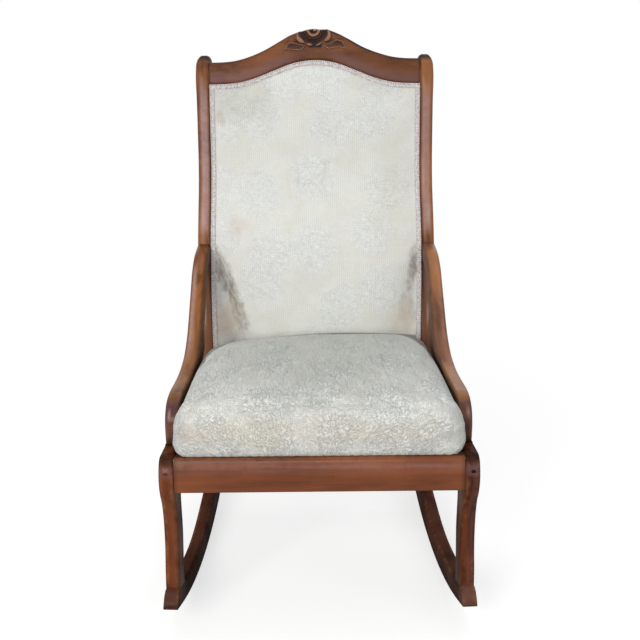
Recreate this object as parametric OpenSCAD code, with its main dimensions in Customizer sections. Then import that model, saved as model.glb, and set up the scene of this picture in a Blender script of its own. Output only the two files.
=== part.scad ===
// Upholstered rocking chair with two curved rockers, hip rests and a rose-carved crest rail.
// X is across the chair, Y runs from front to back, Z is up, and the floor is at zero.
// Side members are sawn from board and drawn as outlines: depth behind the knees, then height.
// The chair is drawn with its seat level, and each piece is then tipped back as the chair rests.

/* [Whole chair] */
// Depth from the front of the knees to the rocker tails
overall_d = 784; // [700:1:860]
// Width over the outer faces of the knees
front_w = 560; // [500:1:620]
// Angle by which each side frame turns in towards the back
splay_a = 3.43; // [2:0.01:5]
// Thickness of the sawn side members
side_t = 27; // [24:0.5:32]
// Backward slope of the seat when the chair stands still
seat_slope = 2.4; // [0:0.1:4]

/* [Rockers] */
// Radius of the curve that meets the floor
rocker_r = 1130; // [1000:10:1400]
// Depth of the lowest point behind the knees with the seat level
rocker_low_d = 330; // [310:1:350]
// Height of a rocker under the seat
rocker_h = 39; // [34:1:46]
// Length of one straight step of the curve
rocker_step = 40; // [20:2:60]
// How far the toes stop behind the front of the knees
rocker_toe_d = 4; // [0:1:20]

/* [Seat frame] */
// Height of the top of the seat rails
rail_top = 329; // [300:1:360]
// Height of the seat rails themselves
rail_h = 64; // [56:1:76]
// Thickness of the front, rear and slip frame rails
rail_t = 25; // [20:0.5:30]
// Set-back of the front rail behind the knees
front_rail_d = 6; // [3:0.5:14]
// Radius of the front rail's top edge
front_rail_r = 8; // [4:0.5:12]
// Depth of a knee, from its front to the side rail
knee_d = 85; // [76:1:96]
// Depth of the front of the back posts at the seat
post_seat_d = 545; // [500:1:580]

/* [Back posts] */
// Height of the tips of the posts
post_top = 990; // [900:1:1060]
// Depth that a post spans from its waist to its tip
post_run = 110; // [90:1:130]

/* [Hip rests] */
// Height from the side rail to the top end of a hip rest
arm_rise = 274; // [240:1:310]
// Thickness of a hip rest
arm_t = 25; // [20:0.5:27]

/* [Crest rail] */
// Height of the middle of the crest rail
crest_top = 1041; // [960:1:1100]
// Height of the crest rail at its middle
crest_mid_h = 65; // [54:1:80]
// Height of the crest rail at its ends
crest_end_h = 46; // [38:1:56]
// Drop of the top edge from the middle to the ends
crest_drop = 67; // [40:1:80]
// Thickness of the crest rail
crest_t = 26; // [20:0.5:28]
// Lean of the crest rail
crest_lean = 7; // [3:0.5:10]
// Radius of the carved rose
rose_r = 29; // [20:1:34]

/* [Seat cushion] */
// Height of the crown over the rails
cushion_h = 117; // [90:1:140]
// Set-back of the cushion front behind the knees
cushion_front_d = 9; // [7:0.5:16]
// How far the sides draw in at the bottom edge
cushion_draw = 8; // [4:1:14]
// Thickness of the seat and back covers
cover_t = 1.5; // [1:0.1:2.5]

/* [Back upholstery] */
// Crown of the back padding
back_crown = 12; // [6:1:20]
// Width of the gimp braid
gimp_w = 10; // [7:0.5:14]
// Thickness of the gimp braid
gimp_t = 2; // [1:0.1:3]
// Height of the lower back rail
low_rail_h = 40; // [30:1:50]

/* [Springs] */
// Wire diameter of a seat spring
wire_d = 3.2; // [2.4:0.1:4]
// Radius of a spring at its ends
coil_r = 37; // [30:1:42]
// Turns in a spring
coil_turns = 4; // [3:1:6]

/* [Fasteners] */
// Diameter of the seat rail dowels
rail_dowel_d = 9.5; // [8:0.5:10]
// Diameter of the other dowels
small_dowel_d = 8; // [6:0.5:8.5]
// Shank diameter of the wood screws
screw_d = 4.4; // [3.5:0.1:5]
// Head diameter of the wood screws
screw_head_d = 8.6; // [7:0.1:9]

/* [Hidden] */
$fn = 48;

// Clearances and the overrun of cuts
fit_gap = 0.05;
soft_gap = 0.3;
over = 1;
drop_in_gap = 1.5;
arm_gap = 1;

// Colours
wood = "#6a2c14";
dark_wood = "#4a1e10";
plain_wood = "#c49a6c";
steel = "#9a9a98";
jute = "#b08a55";
hessian_brown = "#a98858";
cotton = "#efe8d8";
ivory = "#e8e0c8";
braid = "#c9b5a4";
black_cloth = "#26241f";

// Steps along a curve between two of its points, and parts of a curve shared by pieces
curve_steps = 4;
post_waist_d = post_seat_d - post_run * 0.073;
splay = tan(splay_a);
inner_w = front_w / 2 - side_t / cos(splay_a);
rail_low = rail_top - rail_h;
arm_foot_d = knee_d - 2 * fit_gap;
arm_len = post_seat_d - arm_foot_d;

// A smooth curve through points
function smooth_at(a, b, c, d, t) =
    (2 * b + (c - a) * t + (2 * a - 5 * b + 4 * c - d) * t * t
     + (3 * b - a - 3 * c + d) * t * t * t) / 2;
function smooth(p, n = curve_steps) = [
    for (i = [0:len(p) - 2], j = [0:n - 1])
        smooth_at(p[max(i - 1, 0)], p[i], p[i + 1], p[min(i + 2, len(p) - 1)], j / n),
    p[len(p) - 1]];
function reversed(p) = [for (i = [len(p) - 1:-1:0]) p[i]];
function placed(shares, from, size) =
    [for (s = shares) [from.x + s.x * size.x, from.y + s.y * size.y]];
function clamp(v, low, high) = min(max(v, low), high);

// Depth behind the knees turned into Y, counted from the rockers' lowest point
function at_d(d) = d - rocker_low_d;
// Half the clear width between the side frames at a depth
function inner_x(d) = inner_w - splay * d;
// The inner front edge of a side member, from its depth in the splayed frame, and back again
function across_d(d) = d * cos(splay_a) - side_t * sin(splay_a);
function frame_d(d) = (d + side_t * sin(splay_a)) / cos(splay_a);

// Rocker outline: the floor curve is a row of straight steps, one of them flat on the floor
toe_shares = [[0.35, 0.62], [0.10, 0.40], [0, 0.16]];
rocker_top_shares = [0.90, 0.93, 0.97, 1.00, 1.00, 1.10, 1.26, 1.33, 1.24, 1.06, 0.92];
tail_round_shares = [[0.72, 0.98], [0.94, 0.82], [1, 0.5], [0.94, 0.22]];
toe_l = 28;
tail_l = 14;
step_a = 2 * asin(rocker_step / 2 / rocker_r);
function floor_a(d) = asin((d - rocker_low_d) / rocker_r);
toe_k = ceil((floor_a(rocker_toe_d + toe_l / 3) - seat_slope) / step_a - 0.5);
tail_k = floor((floor_a(overall_d - tail_l) - seat_slope) / step_a - 0.5);
function floor_at(a) = [rocker_low_d + rocker_r * sin(a),
                        rocker_r * (cos(step_a / 2) - cos(a))];
function bottom_y(d) = floor_at(floor_a(d)).y;
function top_share(t) =
    let (s = clamp(t, 0, 1) * (len(rocker_top_shares) - 1), i = min(floor(s), len(rocker_top_shares) - 2))
    rocker_top_shares[i] + (rocker_top_shares[i + 1] - rocker_top_shares[i]) * (s - i);
function rocker_y(d) =
    bottom_y(d) + rocker_h * top_share((d - rocker_toe_d) / (overall_d - rocker_toe_d));
// What lies under the middle of a rocker, from beyond its toe to beyond its tail
rocker_under = concat([[rocker_toe_d - toe_l, -rail_top]],
    [for (i = [0:24])
        let (d = rocker_toe_d - toe_l + (overall_d - rocker_toe_d + 2 * toe_l) * i / 24,
             near = clamp(d, rocker_toe_d, overall_d))
        [d, (bottom_y(near) + rocker_y(near)) / 2]],
    [[overall_d + toe_l, -rail_top]]);
toe_top_d = rocker_toe_d + toe_l;
tail_top_d = overall_d - tail_l;
rocker_bottom = [for (k = [toe_k:tail_k]) floor_at(seat_slope + (k + 0.5) * step_a)];
rocker_upper = [for (i = [0:24])
    let (d = tail_top_d + (toe_top_d - tail_top_d) * i / 24) [d, rocker_y(d)]];
function rocker_tail() =
    let (low = bottom_y(tail_top_d), high = rocker_y(tail_top_d))
    [for (s = reversed(tail_round_shares)) [tail_top_d + s.x * tail_l, low + s.y * (high - low)]];
function rocker_toe() =
    let (low = rocker_bottom[0].y, high = rocker_y(toe_top_d))
    [for (s = toe_shares) [rocker_toe_d + s.x * toe_l, low + (0.1 + s.y) * (high - low)]];
rocker_outline = concat(rocker_bottom, rocker_tail(), rocker_upper, rocker_toe());

// Front leg: a knee at the rail, then a scrolled leg down to the rocker
leg_front_shares = [[0.36, 1], [0.15, 0.984], [0.05, 0.952], [0, 0.898], [0.03, 0.836],
                    [0.13, 0.778], [0.25, 0.732], [0.365, 0.65], [0.43, 0.55], [0.435, 0.43],
                    [0.375, 0.31], [0.365, 0.18]];
leg_rear_shares = [[1, 0.806], [0.955, 0.745], [0.95, 0.69], [0.985, 0.625], [1.04, 0.53],
                   [1.045, 0.46], [1.01, 0.34], [1, 0.26], [1.01, 0.16]];
leg_outline = concat([[knee_d, rail_top]],
                     smooth(placed(leg_front_shares, [0, 0], [knee_d, rail_top])),
                     reversed(smooth(placed(leg_rear_shares, [0, 0], [knee_d, rail_top]))));

// Back post and rear leg in one piece
post_front_shares = [[0.42, 0.05], [0.38, 0.08], [0.227, 0.152], [0.11, 0.217], [0.073, 0.265],
                     [0.073, 0.338], [0.036, 0.384], [0.009, 0.434], [0, 0.485], [0.027, 0.566],
                     [0.10, 0.62], [0.236, 0.67], [0.382, 0.718], [0.465, 0.768], [0.483, 0.819],
                     [0.483, 0.87], [0.487, 0.919], [0.527, 0.957], [0.618, 0.98]];
post_tip_shares = [[0.618, 0.98], [0.727, 0.992], [0.845, 0.9985], [0.95, 0.997], [1, 0.986],
                   [0.97, 0.973]];
post_rear_shares = [[0.80, 0.05], [0.77, 0.08], [0.645, 0.141], [0.555, 0.202], [0.49, 0.265],
                    [0.49, 0.338], [0.418, 0.404], [0.355, 0.465], [0.355, 0.525], [0.418, 0.596],
                    [0.50, 0.645], [0.645, 0.694], [0.782, 0.742], [0.836, 0.793], [0.845, 0.859],
                    [0.855, 0.919], [0.90, 0.955], [0.97, 0.973]];
function post_points(shares) = placed(shares, [post_waist_d, 0], [post_run, post_top]);
post_front = smooth(post_points(post_front_shares));
post_outline = concat(post_front, smooth(post_points(post_tip_shares)),
                      reversed(smooth(post_points(post_rear_shares))));
post_by_height = [for (p = post_front) [p.y, p.x]];
across_by_height = [for (p = post_front) [p.y, across_d(p.x)]];

// Hip rest, a long curve from the back post down to its foot on the side rail
arm_top_shares = [[1.04, 1.01], [1, 1], [0.922, 0.974], [0.872, 0.945], [0.81, 0.876],
                  [0.773, 0.80], [0.701, 0.646], [0.628, 0.496], [0.552, 0.394], [0.48, 0.339],
                  [0.377, 0.303], [0.26, 0.293], [0.1515, 0.292], [0.093, 0.281], [0.054, 0.261],
                  [0.02, 0.215], [0.003, 0.155], [0, 0.10], [0.004, 0.04], [0.009, 0]];
arm_low_shares = [[1.04, 0.88], [0.995, 0.87], [0.944, 0.85], [0.903, 0.825], [0.866, 0.785],
                  [0.833, 0.715], [0.762, 0.562], [0.682, 0.405], [0.589, 0.277], [0.504, 0.215],
                  [0.383, 0.1715], [0.26, 0.16], [0.167, 0.158], [0.128, 0.148], [0.102, 0.117],
                  [0.091, 0.06], [0.089, 0]];
function arm_points(shares) = placed(shares, [arm_foot_d, rail_top], [arm_len, arm_rise]);
arm_outline = concat(smooth(arm_points(arm_top_shares)),
                     reversed(smooth(arm_points(arm_low_shares))));

// Crest rail seen from the front: distance from the middle, then drop below the middle
crest_half = inner_x(post_waist_d + post_run * 0.6);
crest_top_shares = [[0, 0], [0.14, 0.07], [0.30, 0.35], [0.49, 0.66], [0.68, 0.89], [0.83, 0.98],
                    [1.05, 1]];
crest_low_shares = [[0, 0], [0.195, 0.11], [0.39, 0.43], [0.585, 0.77], [0.78, 0.96], [1.05, 1]];
low_drop = crest_drop + crest_end_h - crest_mid_h;
crest_low_mid = crest_top - crest_mid_h;
crest_base = crest_low_mid - low_drop;
crest_upper = smooth([for (s = crest_top_shares)
    [s.x * crest_half, crest_top - s.y * crest_drop - crest_base]]);
crest_lower = smooth([for (s = crest_low_shares)
    [s.x * crest_half, crest_low_mid - s.y * low_drop - crest_base]]);
function both_sides(p) = concat([for (q = reversed(p)) [-q.x, q.y]], [for (i = [1:len(p) - 1]) p[i]]);
crest_outline = concat(both_sides(crest_upper), reversed(both_sides(crest_lower)));

// The back follows the front of the posts, and from there on the lean of the crest rail
crest_setback = 5;
crest_bend_rise = 6;
crest_y0 = crest_base + crest_bend_rise;
function back_d(y) = y < crest_y0 ? lookup(y, across_by_height)
    : lookup(crest_y0, across_by_height) + (y - crest_y0) * tan(crest_lean);
// Height of the crest rail's bottom edge, and how far a layer behind its face stays below that
function crest_low_y(x) = crest_base + lookup(abs(x), crest_lower) * cos(crest_lean);
function crest_clear(off) = soft_gap + max(0, off - crest_setback) * tan(crest_lean);

// Layers of the back, counted from the front of the posts
cover_back = 3;
padding_t = 10;
curve_gap = 0.8;
hessian_t = 1;
web_t = 1.2;
hessian_back = cover_back + padding_t + curve_gap;
web_back = hessian_back + hessian_t;
strip_back = web_back + 2 * web_t;
crest_back = crest_setback + crest_t / cos(crest_lean);
strip_deep = crest_back - strip_back;
strip_wide = 12;
strip_turn = strip_wide * sin(splay_a);
outside_back = crest_back + soft_gap;
outside_t = 1.2;
low_rail_rise = 16;
low_rail_base = rail_top + low_rail_rise;
low_rail_top = low_rail_base + low_rail_h;
back_low_rise = 2;
back_low = low_rail_base + back_low_rise;
strip_low = low_rail_top;
outside_low = rail_top - rail_h / 2;
strip_top = crest_base - crest_clear(crest_back);
row_pitch = post_top / 44;

// Sweeps a strip of board between two edges, thickness across the chair
module sawn(outline, thick) {
    rotate([90, 0, 90]) linear_extrude(thick) polygon(outline);
}
// Puts a piece drawn with X as depth inside the left outer face on that face
module left_frame() {
    translate([-front_w / 2, at_d(0), 0]) rotate([0, 0, -splay_a]) children();
}
module right_frame() {
    mirror([1, 0, 0]) left_frame() children();
}
// Tips a piece back about the middle of the rocker curve and centres the chair on the origin
curve_mid = rocker_r * cos(step_a / 2);
function rest_y(d, y) = (d - rocker_low_d) * cos(seat_slope) + (y - curve_mid) * sin(seat_slope);
rest_mid = (rest_y(rocker_toe_d, rocker_y(toe_top_d) - rocker_h / 2)
            + rest_y(overall_d, bottom_y(tail_top_d) + rocker_h / 2)) / 2;
module at_rest() {
    translate([0, -rest_mid, curve_mid]) rotate([-seat_slope, 0, 0]) translate([0, 0, -curve_mid]) children();
}
module both_frames() {
    left_frame() children();
    right_frame() children();
}
// The clear space between the side frames, drawn in by a margin
module between_frames(from_d, to_d, low, high, margin = 0) {
    translate([0, at_d(0), low]) linear_extrude(high - low) polygon([
        [margin - inner_x(from_d), from_d], [inner_x(from_d) - margin, from_d],
        [inner_x(to_d) - margin, to_d], [margin - inner_x(to_d), to_d]]);
}

// Fasteners lie along Z with their middle or head at the origin
module dowel(d, l, gap = 0) {
    cylinder(d = d + 2 * gap, h = l + 2 * gap, center = true);
}
module along_x() { rotate([0, 90, 0]) children(); }
module along_y() { rotate([-90, 0, 0]) children(); }
screw_head_t = 4;
module wood_screw(l, gap = 0) {
    translate([0, 0, -gap]) cylinder(d = screw_d + 2 * gap, h = l + 2 * gap);
    translate([0, 0, -gap]) cylinder(d = screw_head_d + 2 * gap, h = screw_head_t + 2 * gap);
}
module screw_hole(l, sink) {
    wood_screw(l, fit_gap);
    translate([0, 0, -sink]) cylinder(d = screw_head_d + 2 * fit_gap, h = sink);
}

// Seat rail dowels: in the front and rear rails across, in the side rails along the frame
rail_dowel_l = 34;
front_dowel_shares = [0.28, 0.86];
rear_dowel_shares = [0.38, 0.62];
side_dowel_shares = [0.17, 0.83];
rear_rail_in = 4.6;
rear_rail_d = across_d(lookup(rail_top, post_by_height)) + rear_rail_in;
module seat_dowel_set(gap = 0) {
    for (rail = [[front_rail_d, front_dowel_shares], [rear_rail_d, rear_dowel_shares]],
         s = rail[1], side = [-1, 1]) {
        mid = rail[0] + rail_t / 2;
        translate([side * inner_x(mid), at_d(mid), rail_low + s * rail_h])
            along_x() dowel(rail_dowel_d, rail_dowel_l, gap);
    }
    both_frames() for (s = side_dowel_shares, d = [knee_d, post_seat_d])
        translate([side_t / 2, d, rail_low + s * rail_h])
            along_y() dowel(rail_dowel_d, rail_dowel_l, gap);
}

// Dowels of the crest rail and the lower back rail
crest_dowel_shares = [0.24, 0.76];
back_dowel_l = 34;
module back_dowel_set(gap = 0) {
    for (side = [-1, 1]) {
        for (s = crest_dowel_shares) {
            y = crest_base + s * crest_end_h;
            d = back_d(y) + crest_setback + crest_t / 2;
            translate([side * inner_x(d), at_d(d), y])
                along_x() dowel(small_dowel_d, back_dowel_l, gap);
        }
        for (s = rear_dowel_shares) {
            y = low_rail_base + s * low_rail_h;
            d = back_d(y) + strip_back + strip_deep / 2;
            translate([side * inner_x(d), at_d(d), y])
                along_x() dowel(small_dowel_d, back_dowel_l, gap);
        }
    }
}

// Dowels at the two ends of each hip rest
arm_dowel_l = 36;
arm_foot_dowel_share = 0.068;
arm_top_dowel_share = 0.935;
module arm_dowel_set(gap = 0) {
    both_frames() {
        translate([arm_t / 2, arm_foot_d + arm_foot_dowel_share * arm_len, rail_top])
            dowel(small_dowel_d, arm_dowel_l, gap);
        arm_y = rail_top + arm_top_dowel_share * arm_rise;
        translate([arm_t / 2, lookup(arm_y, post_by_height), arm_y])
            along_y() dowel(small_dowel_d, arm_dowel_l, gap);
    }
}

// Each foot has one dowel and one screw in its rocker
foot_dowel_l = 36;
foot_screw_l = 52;
screw_sink = 9;
front_foot_d = knee_d * 0.365;
front_foot_w = knee_d * 0.64;
rear_foot_d = post_waist_d + post_run * 0.38;
rear_foot_w = post_run * 0.38;
foot_dowel_share = 0.27;
foot_screw_share = 0.72;
module leg_dowel_set(gap = 0) {
    both_frames() for (f = [[front_foot_d, front_foot_w], [rear_foot_d, rear_foot_w]]) {
        d = f[0] + foot_dowel_share * f[1];
        translate([side_t / 2, d, rocker_y(d)]) dowel(small_dowel_d, foot_dowel_l, gap);
    }
}
module each_rocker_screw() {
    both_frames() for (f = [[front_foot_d, front_foot_w], [rear_foot_d, rear_foot_w]]) {
        d = f[0] + foot_screw_share * f[1];
        translate([side_t / 2, d, bottom_y(d) + screw_sink]) children();
    }
}

// A screw goes through each knee into the side rail, under a plug
knee_screw_share = 0.59;
knee_screw_l = 100;
plug_l = 8;
plug_d = 9;
plug_setback = 1.6;
module each_knee_screw() {
    both_frames() translate([side_t / 2, plug_setback, rail_low + knee_screw_share * rail_h])
        along_y() children();
}

// Corner blocks are triangles in the corners, each with two screws
block_leg = 56;
block_h = 34;
slip_h = 22;
block_top = rail_top - slip_h;
block_screw_share = 0.62;
block_screw_in = 14;
function block_corner(rear) = rear ? rear_rail_d : front_rail_d + rail_t;
module each_block_screw() {
    for (rear = [false, true], side = [-1, 1]) {
        way = rear ? 1 : -1;
        d = block_corner(rear);
        x = inner_x(d);
        off = block_leg * block_screw_share;
        thick = block_leg - off;
        mid = block_top - block_h / 2;
        // into the front or rear rail
        translate([side * (x - off), at_d(d) - way * (thick - screw_head_t), mid + block_h / 5])
            rotate([-way * 90, 0, 0]) children();
        // into the side frame
        d2 = d - way * off;
        translate([side * (inner_x(d2) - thick + screw_head_t), at_d(d2), mid - block_h / 5])
            rotate([0, side * 90, 0]) children();
    }
}
block_screw_l = block_leg * (1 - block_screw_share) - screw_head_t + block_screw_in;

// Pads and thin shells as rings of points that close over a top point
side_steps = 8;
corner_steps = 3;
corner_share = 0.14;
ring_shares = [for (q = [0:3]) let (a = 90 * q) each concat(
    [for (i = [0:side_steps - 1])
        let (t = (2 * i / side_steps - 1) * (1 - corner_share)) [cos(a) - t * sin(a), sin(a) + t * cos(a)]],
    [for (i = [0:corner_steps - 1])
        let (b = a + 90 * i / corner_steps, m = 1 - corner_share)
        [m * (cos(a) - sin(a)) + corner_share * cos(b), m * (sin(a) + cos(a)) + corner_share * sin(b)]])];
ring_n = len(ring_shares);
cushion_back_in = 12;
cushion_back_d = post_seat_d - cushion_back_in;
cushion_mid_d = (cushion_front_d + cushion_back_d) / 2;
cushion_half_d = (cushion_back_d - cushion_front_d) / 2;
cushion_low = rail_top + soft_gap;
crown_d = cushion_mid_d + cushion_half_d * 0.19;
front_fall_share = 0.18;
rear_fall_share = 0.42;
function cushion_x(d) = front_w / 2 - arm_t / cos(splay_a) - arm_gap - splay * d;
function crown_share(d) =
    1 - front_fall_share * pow(max(0, crown_d - d) / (crown_d - cushion_front_d), 2)
    - rear_fall_share * pow(max(0, d - crown_d) / (cushion_back_d - crown_d), 3);
// One ring: drawn in by inset, raised to a share of the pad's height, lowered by skin
function pad_ring(inset, rise_share, skin) = [for (s = ring_shares)
    let (v = s.y * (1 - inset / cushion_half_d), d = cushion_mid_d + v * cushion_half_d)
    [s.x * (cushion_x(d) - inset), at_d(d), cushion_low + max(0, cushion_h * rise_share * crown_share(d) - skin)]];
rise_shares = [0, 0.10, 0.28, 0.48, 0.66, 0.79, 0.87, 0.925, 0.965, 0.99];
draw_shares = [1, 0.25, 0, 0.12, 0.60, 1.6, 3.4, 6.9, 12.5, 20];
function pad_rings(skin, side_skin) = [for (k = [0:len(rise_shares) - 1])
    pad_ring(draw_shares[k] * cushion_draw + side_skin, rise_shares[k], k == 0 ? 0 : skin)];
function pad_top(skin) = [0, at_d(cushion_mid_d), cushion_low + cushion_h * crown_share(cushion_mid_d) - skin];

// A shell between an outer dome and an inner one, joined round their rims
module dome_shell(outer, outer_top, inner, inner_top) {
    n = ring_n;
    ko = len(outer);
    ki = len(inner);
    points = concat([for (r = outer) each r], [for (r = inner) each r], [outer_top, inner_top]);
    first = ko * n;
    top_o = (ko + ki) * n;
    faces = concat(
        [for (k = [0:ko - 2], i = [0:n - 1]) let (j = (i + 1) % n)
            each [[k * n + i, (k + 1) * n + i, (k + 1) * n + j], [k * n + i, (k + 1) * n + j, k * n + j]]],
        [for (i = [0:n - 1]) let (j = (i + 1) % n) [(ko - 1) * n + i, top_o, (ko - 1) * n + j]],
        [for (k = [0:ki - 2], i = [0:n - 1]) let (j = (i + 1) % n)
            each [[first + k * n + i, first + (k + 1) * n + j, first + (k + 1) * n + i],
                  [first + k * n + i, first + k * n + j, first + (k + 1) * n + j]]],
        [for (i = [0:n - 1]) let (j = (i + 1) % n)
            [first + (ki - 1) * n + i, first + (ki - 1) * n + j, top_o + 1]],
        [for (i = [0:n - 1]) let (j = (i + 1) % n)
            each [[i, j, first + j], [i, first + j, first + i]]]);
    polyhedron(points, faces);
}

// The hessian over the springs is a low tray, upside down
tray_h = 70;
tray_foot_in = 22;
tray_top_in = 72;
function tray_ring(inset, z) = [for (s = ring_shares)
    let (d = cushion_mid_d + s.y * (cushion_half_d - inset)) [s.x * (inner_x(d) - inset), at_d(d), z]];
function tray_rings(skin) = [
    tray_ring(tray_foot_in + skin, cushion_low),
    tray_ring(tray_foot_in + skin + (tray_top_in - tray_foot_in) * 0.4, cushion_low + tray_h * 0.6),
    tray_ring(tray_top_in + skin, cushion_low + tray_h - skin)];
function tray_top(skin) = [0, at_d(cushion_mid_d), cushion_low + tray_h - skin];

// A closed slab between a front and a back sheet of points
module slab(front, back) {
    rows = len(front);
    cols = len(front[0]);
    n = rows * cols;
    points = concat([for (r = front) each r], [for (r = back) each r]);
    edge = concat([for (j = [0:cols - 1]) j], [for (i = [1:rows - 1]) i * cols + cols - 1],
                  [for (j = [cols - 2:-1:0]) (rows - 1) * cols + j],
                  [for (i = [rows - 2:-1:1]) i * cols]);
    m = len(edge);
    faces = concat(
        [for (i = [0:rows - 2], j = [0:cols - 2]) let (a = i * cols + j, b = a + cols)
            each [[a, b, b + 1], [a, b + 1, a + 1]]],
        [for (i = [0:rows - 2], j = [0:cols - 2]) let (a = n + i * cols + j, b = a + cols)
            each [[a, b + 1, b], [a, a + 1, b + 1]]],
        [for (i = [0:m - 1]) let (a = edge[i], b = edge[(i + 1) % m])
            each [[a, b, n + b], [a, n + b, n + a]]]);
    polyhedron(points, faces);
}
back_cols = 12;
back_rows = 18;
// The flat margin of the back padding is what the braid lies on
margin_spare = 1;
margin_w = gimp_w + margin_spare;
function back_half(y, off) = inner_x(back_d(y) + off) - soft_gap;
// Columns and rows are even between two that run along the margins
function column_x(j, half) = j == 0 ? -half : j == back_cols ? half
    : (half - margin_w) * (2 * (j - 1) / (back_cols - 2) - 1);
function row_y(i, high) = i == back_rows ? high
    : back_low + (high - margin_w - back_low) * i / (back_rows - 1);
function back_point(i, j, off, deep, crown) =
    let (high = crest_low_y(column_x(j, back_half(crest_base, deep))) - crest_clear(deep) - curve_gap,
         y = row_y(i, high),
         half = back_half(y, deep),
         x = column_x(j, half),
         across = clamp(abs(x) / (half - margin_w), 0, 1),
         up = clamp((high - margin_w - y) / (high - back_low), 0, 1),
         low = clamp((y - back_low) / (high - back_low), 0, 1),
         puff = (1 - pow(across, 4)) * (1 - pow(1 - min(1, up * 4), 3)) * (1 - pow(1 - min(1, low * 5), 2) / 2))
    [x, at_d(back_d(y) + off - crown * puff), y];
function back_sheet(off, deep, crown) =
    [for (i = [0:back_rows]) [for (j = [0:back_cols]) back_point(i, j, off, deep, crown)]];

// A ribbon of board or cloth that follows the back, seen from the side
function rows_between(low, high) = concat([low],
    [for (k = [ceil(low / row_pitch + 0.2):floor(high / row_pitch - 0.2)]) k * row_pitch], [high]);
function back_curve(low, high, off) = [for (y = rows_between(low, high)) [back_d(y) + off, y]];
function back_band(low, high, off, thick) =
    concat(back_curve(low, high, off), reversed(back_curve(low, high, off + thick)));
module back_ribbon(low, high, off, thick) {
    translate([-inner_w, at_d(0), 0]) sawn(back_band(low, high, off, thick), 2 * inner_w);
}
// Everything under the bottom edge of the crest rail, moved up or down
module under_crest(rise) {
    edge = [for (p = both_sides(crest_lower)) [p.x, crest_base + p.y * cos(crest_lean) + rise]];
    translate([0, at_d(overall_d), 0]) rotate([90, 0, 0]) linear_extrude(overall_d)
        polygon(concat([[-front_w, 0], [-front_w, edge[0].y]], edge, [[front_w, edge[0].y], [front_w, 0]]));
}
module back_cloth(low, off, thick, rise) {
    intersection() {
        back_ribbon(low, crest_top, off, thick);
        between_frames(0, overall_d, 0, crest_top, soft_gap);
        under_crest(rise);
    }
}
module inner_cloth(off, thick) { back_cloth(back_low, off, thick, -crest_clear(off + thick)); }
module braid_frame(low, off, rise) {
    difference() {
        back_cloth(low, off, gimp_t, rise);
        intersection() {
            between_frames(0, overall_d, 0, crest_top, soft_gap + gimp_w);
            under_crest(rise - gimp_w);
        }
    }
}

// Springs: an unbroken wire, wide at both ends and narrow at the waist
web_places_x = [-1, 0, 1];
web_pitch_x = inner_x(cushion_mid_d) * 0.456;
web_places_d = [-1, 0, 1];
web_pitch_d = cushion_half_d * 0.489;
web_w = 50;
spring_waist_share = 0.62;
spring_h = cushion_low + tray_h - hessian_t - 2 * soft_gap - block_top;
wire_sides = 6;
turn_rings = 8;
ring_total = coil_turns * turn_rings;
function wire_point(i) =
    let (t = i / ring_total, r = coil_r * (spring_waist_share + (1 - spring_waist_share) * pow(2 * t - 1, 2)),
         z = wire_d / 2 + (spring_h - wire_d) * (t * t * (3 - 2 * t)))
    [r * cos(360 * coil_turns * t), r * sin(360 * coil_turns * t), z];
least_gap = min([for (i = [0:ring_total - turn_rings])
    norm(wire_point(i + turn_rings) - wire_point(i)) - wire_d]);
echo("least gap between two turns of a spring", least_gap);
function wire_ring(i) =
    let (p = wire_point(i), a = wire_point(max(i - 1, 0)), b = wire_point(min(i + 1, ring_total)),
         t = (b - a) / norm(b - a), n = [p.x, p.y, 0] / norm([p.x, p.y]), n2 = cross(t, n), m = n2 / norm(n2))
    [for (k = [0:wire_sides - 1]) p + wire_d / 2 * (cos(360 * k / wire_sides) * cross(m, t)
                                                    + sin(360 * k / wire_sides) * m)];
module spring() {
    n = wire_sides;
    last = ring_total * n;
    points = [for (i = [0:ring_total]) each wire_ring(i)];
    faces = concat(
        [for (i = [0:ring_total - 1], k = [0:n - 1]) let (a = i * n + k, b = i * n + (k + 1) % n)
            each [[a, a + n, b + n], [a, b + n, b]]],
        [for (k = [1:n - 2]) [0, k, k + 1]],
        [for (k = [1:n - 2]) [last, last + k + 1, last + k]]);
    polyhedron(points, faces);
}

// Sub-parts
module one_rocker() {
    difference() {
        left_frame() sawn(rocker_outline, side_t);
        leg_dowel_set(fit_gap);
        each_rocker_screw() screw_hole(foot_screw_l, screw_sink + over);
    }
}
module left_rocker() { color(wood) at_rest() one_rocker(); }
module right_rocker() { color(wood) at_rest() mirror([1, 0, 0]) one_rocker(); }

module one_front_leg() {
    difference() {
        left_frame() rotate([90, 0, 90]) linear_extrude(side_t) difference() {
            polygon(leg_outline);
            polygon(rocker_outline);
            polygon(rocker_under);
        }
        seat_dowel_set(fit_gap);
        leg_dowel_set(fit_gap);
        each_rocker_screw() screw_hole(foot_screw_l, screw_sink);
        each_knee_screw() knee_hole();
        each_block_screw() screw_hole(block_screw_l, over);
    }
}
module knee_hole() {
    translate([0, 0, -plug_setback - over]) cylinder(d = plug_d + 2 * fit_gap, h = plug_setback + over + plug_l);
    translate([0, 0, plug_l]) wood_screw(knee_screw_l, fit_gap);
}
module left_front_leg() { color(wood) at_rest() one_front_leg(); }
module right_front_leg() { color(wood) at_rest() mirror([1, 0, 0]) one_front_leg(); }

module one_side_rail() {
    difference() {
        left_frame() rotate([90, 0, 90]) linear_extrude(side_t) difference() {
            translate([knee_d, rail_low]) square([post_seat_d - knee_d + over, rail_h]);
            polygon(post_outline);
        }
        seat_dowel_set(fit_gap);
        arm_dowel_set(fit_gap);
        each_knee_screw() knee_hole();
        each_block_screw() screw_hole(block_screw_l, over);
    }
}
module left_side_rail() { color(wood) at_rest() one_side_rail(); }
module right_side_rail() { color(wood) at_rest() mirror([1, 0, 0]) one_side_rail(); }

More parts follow.
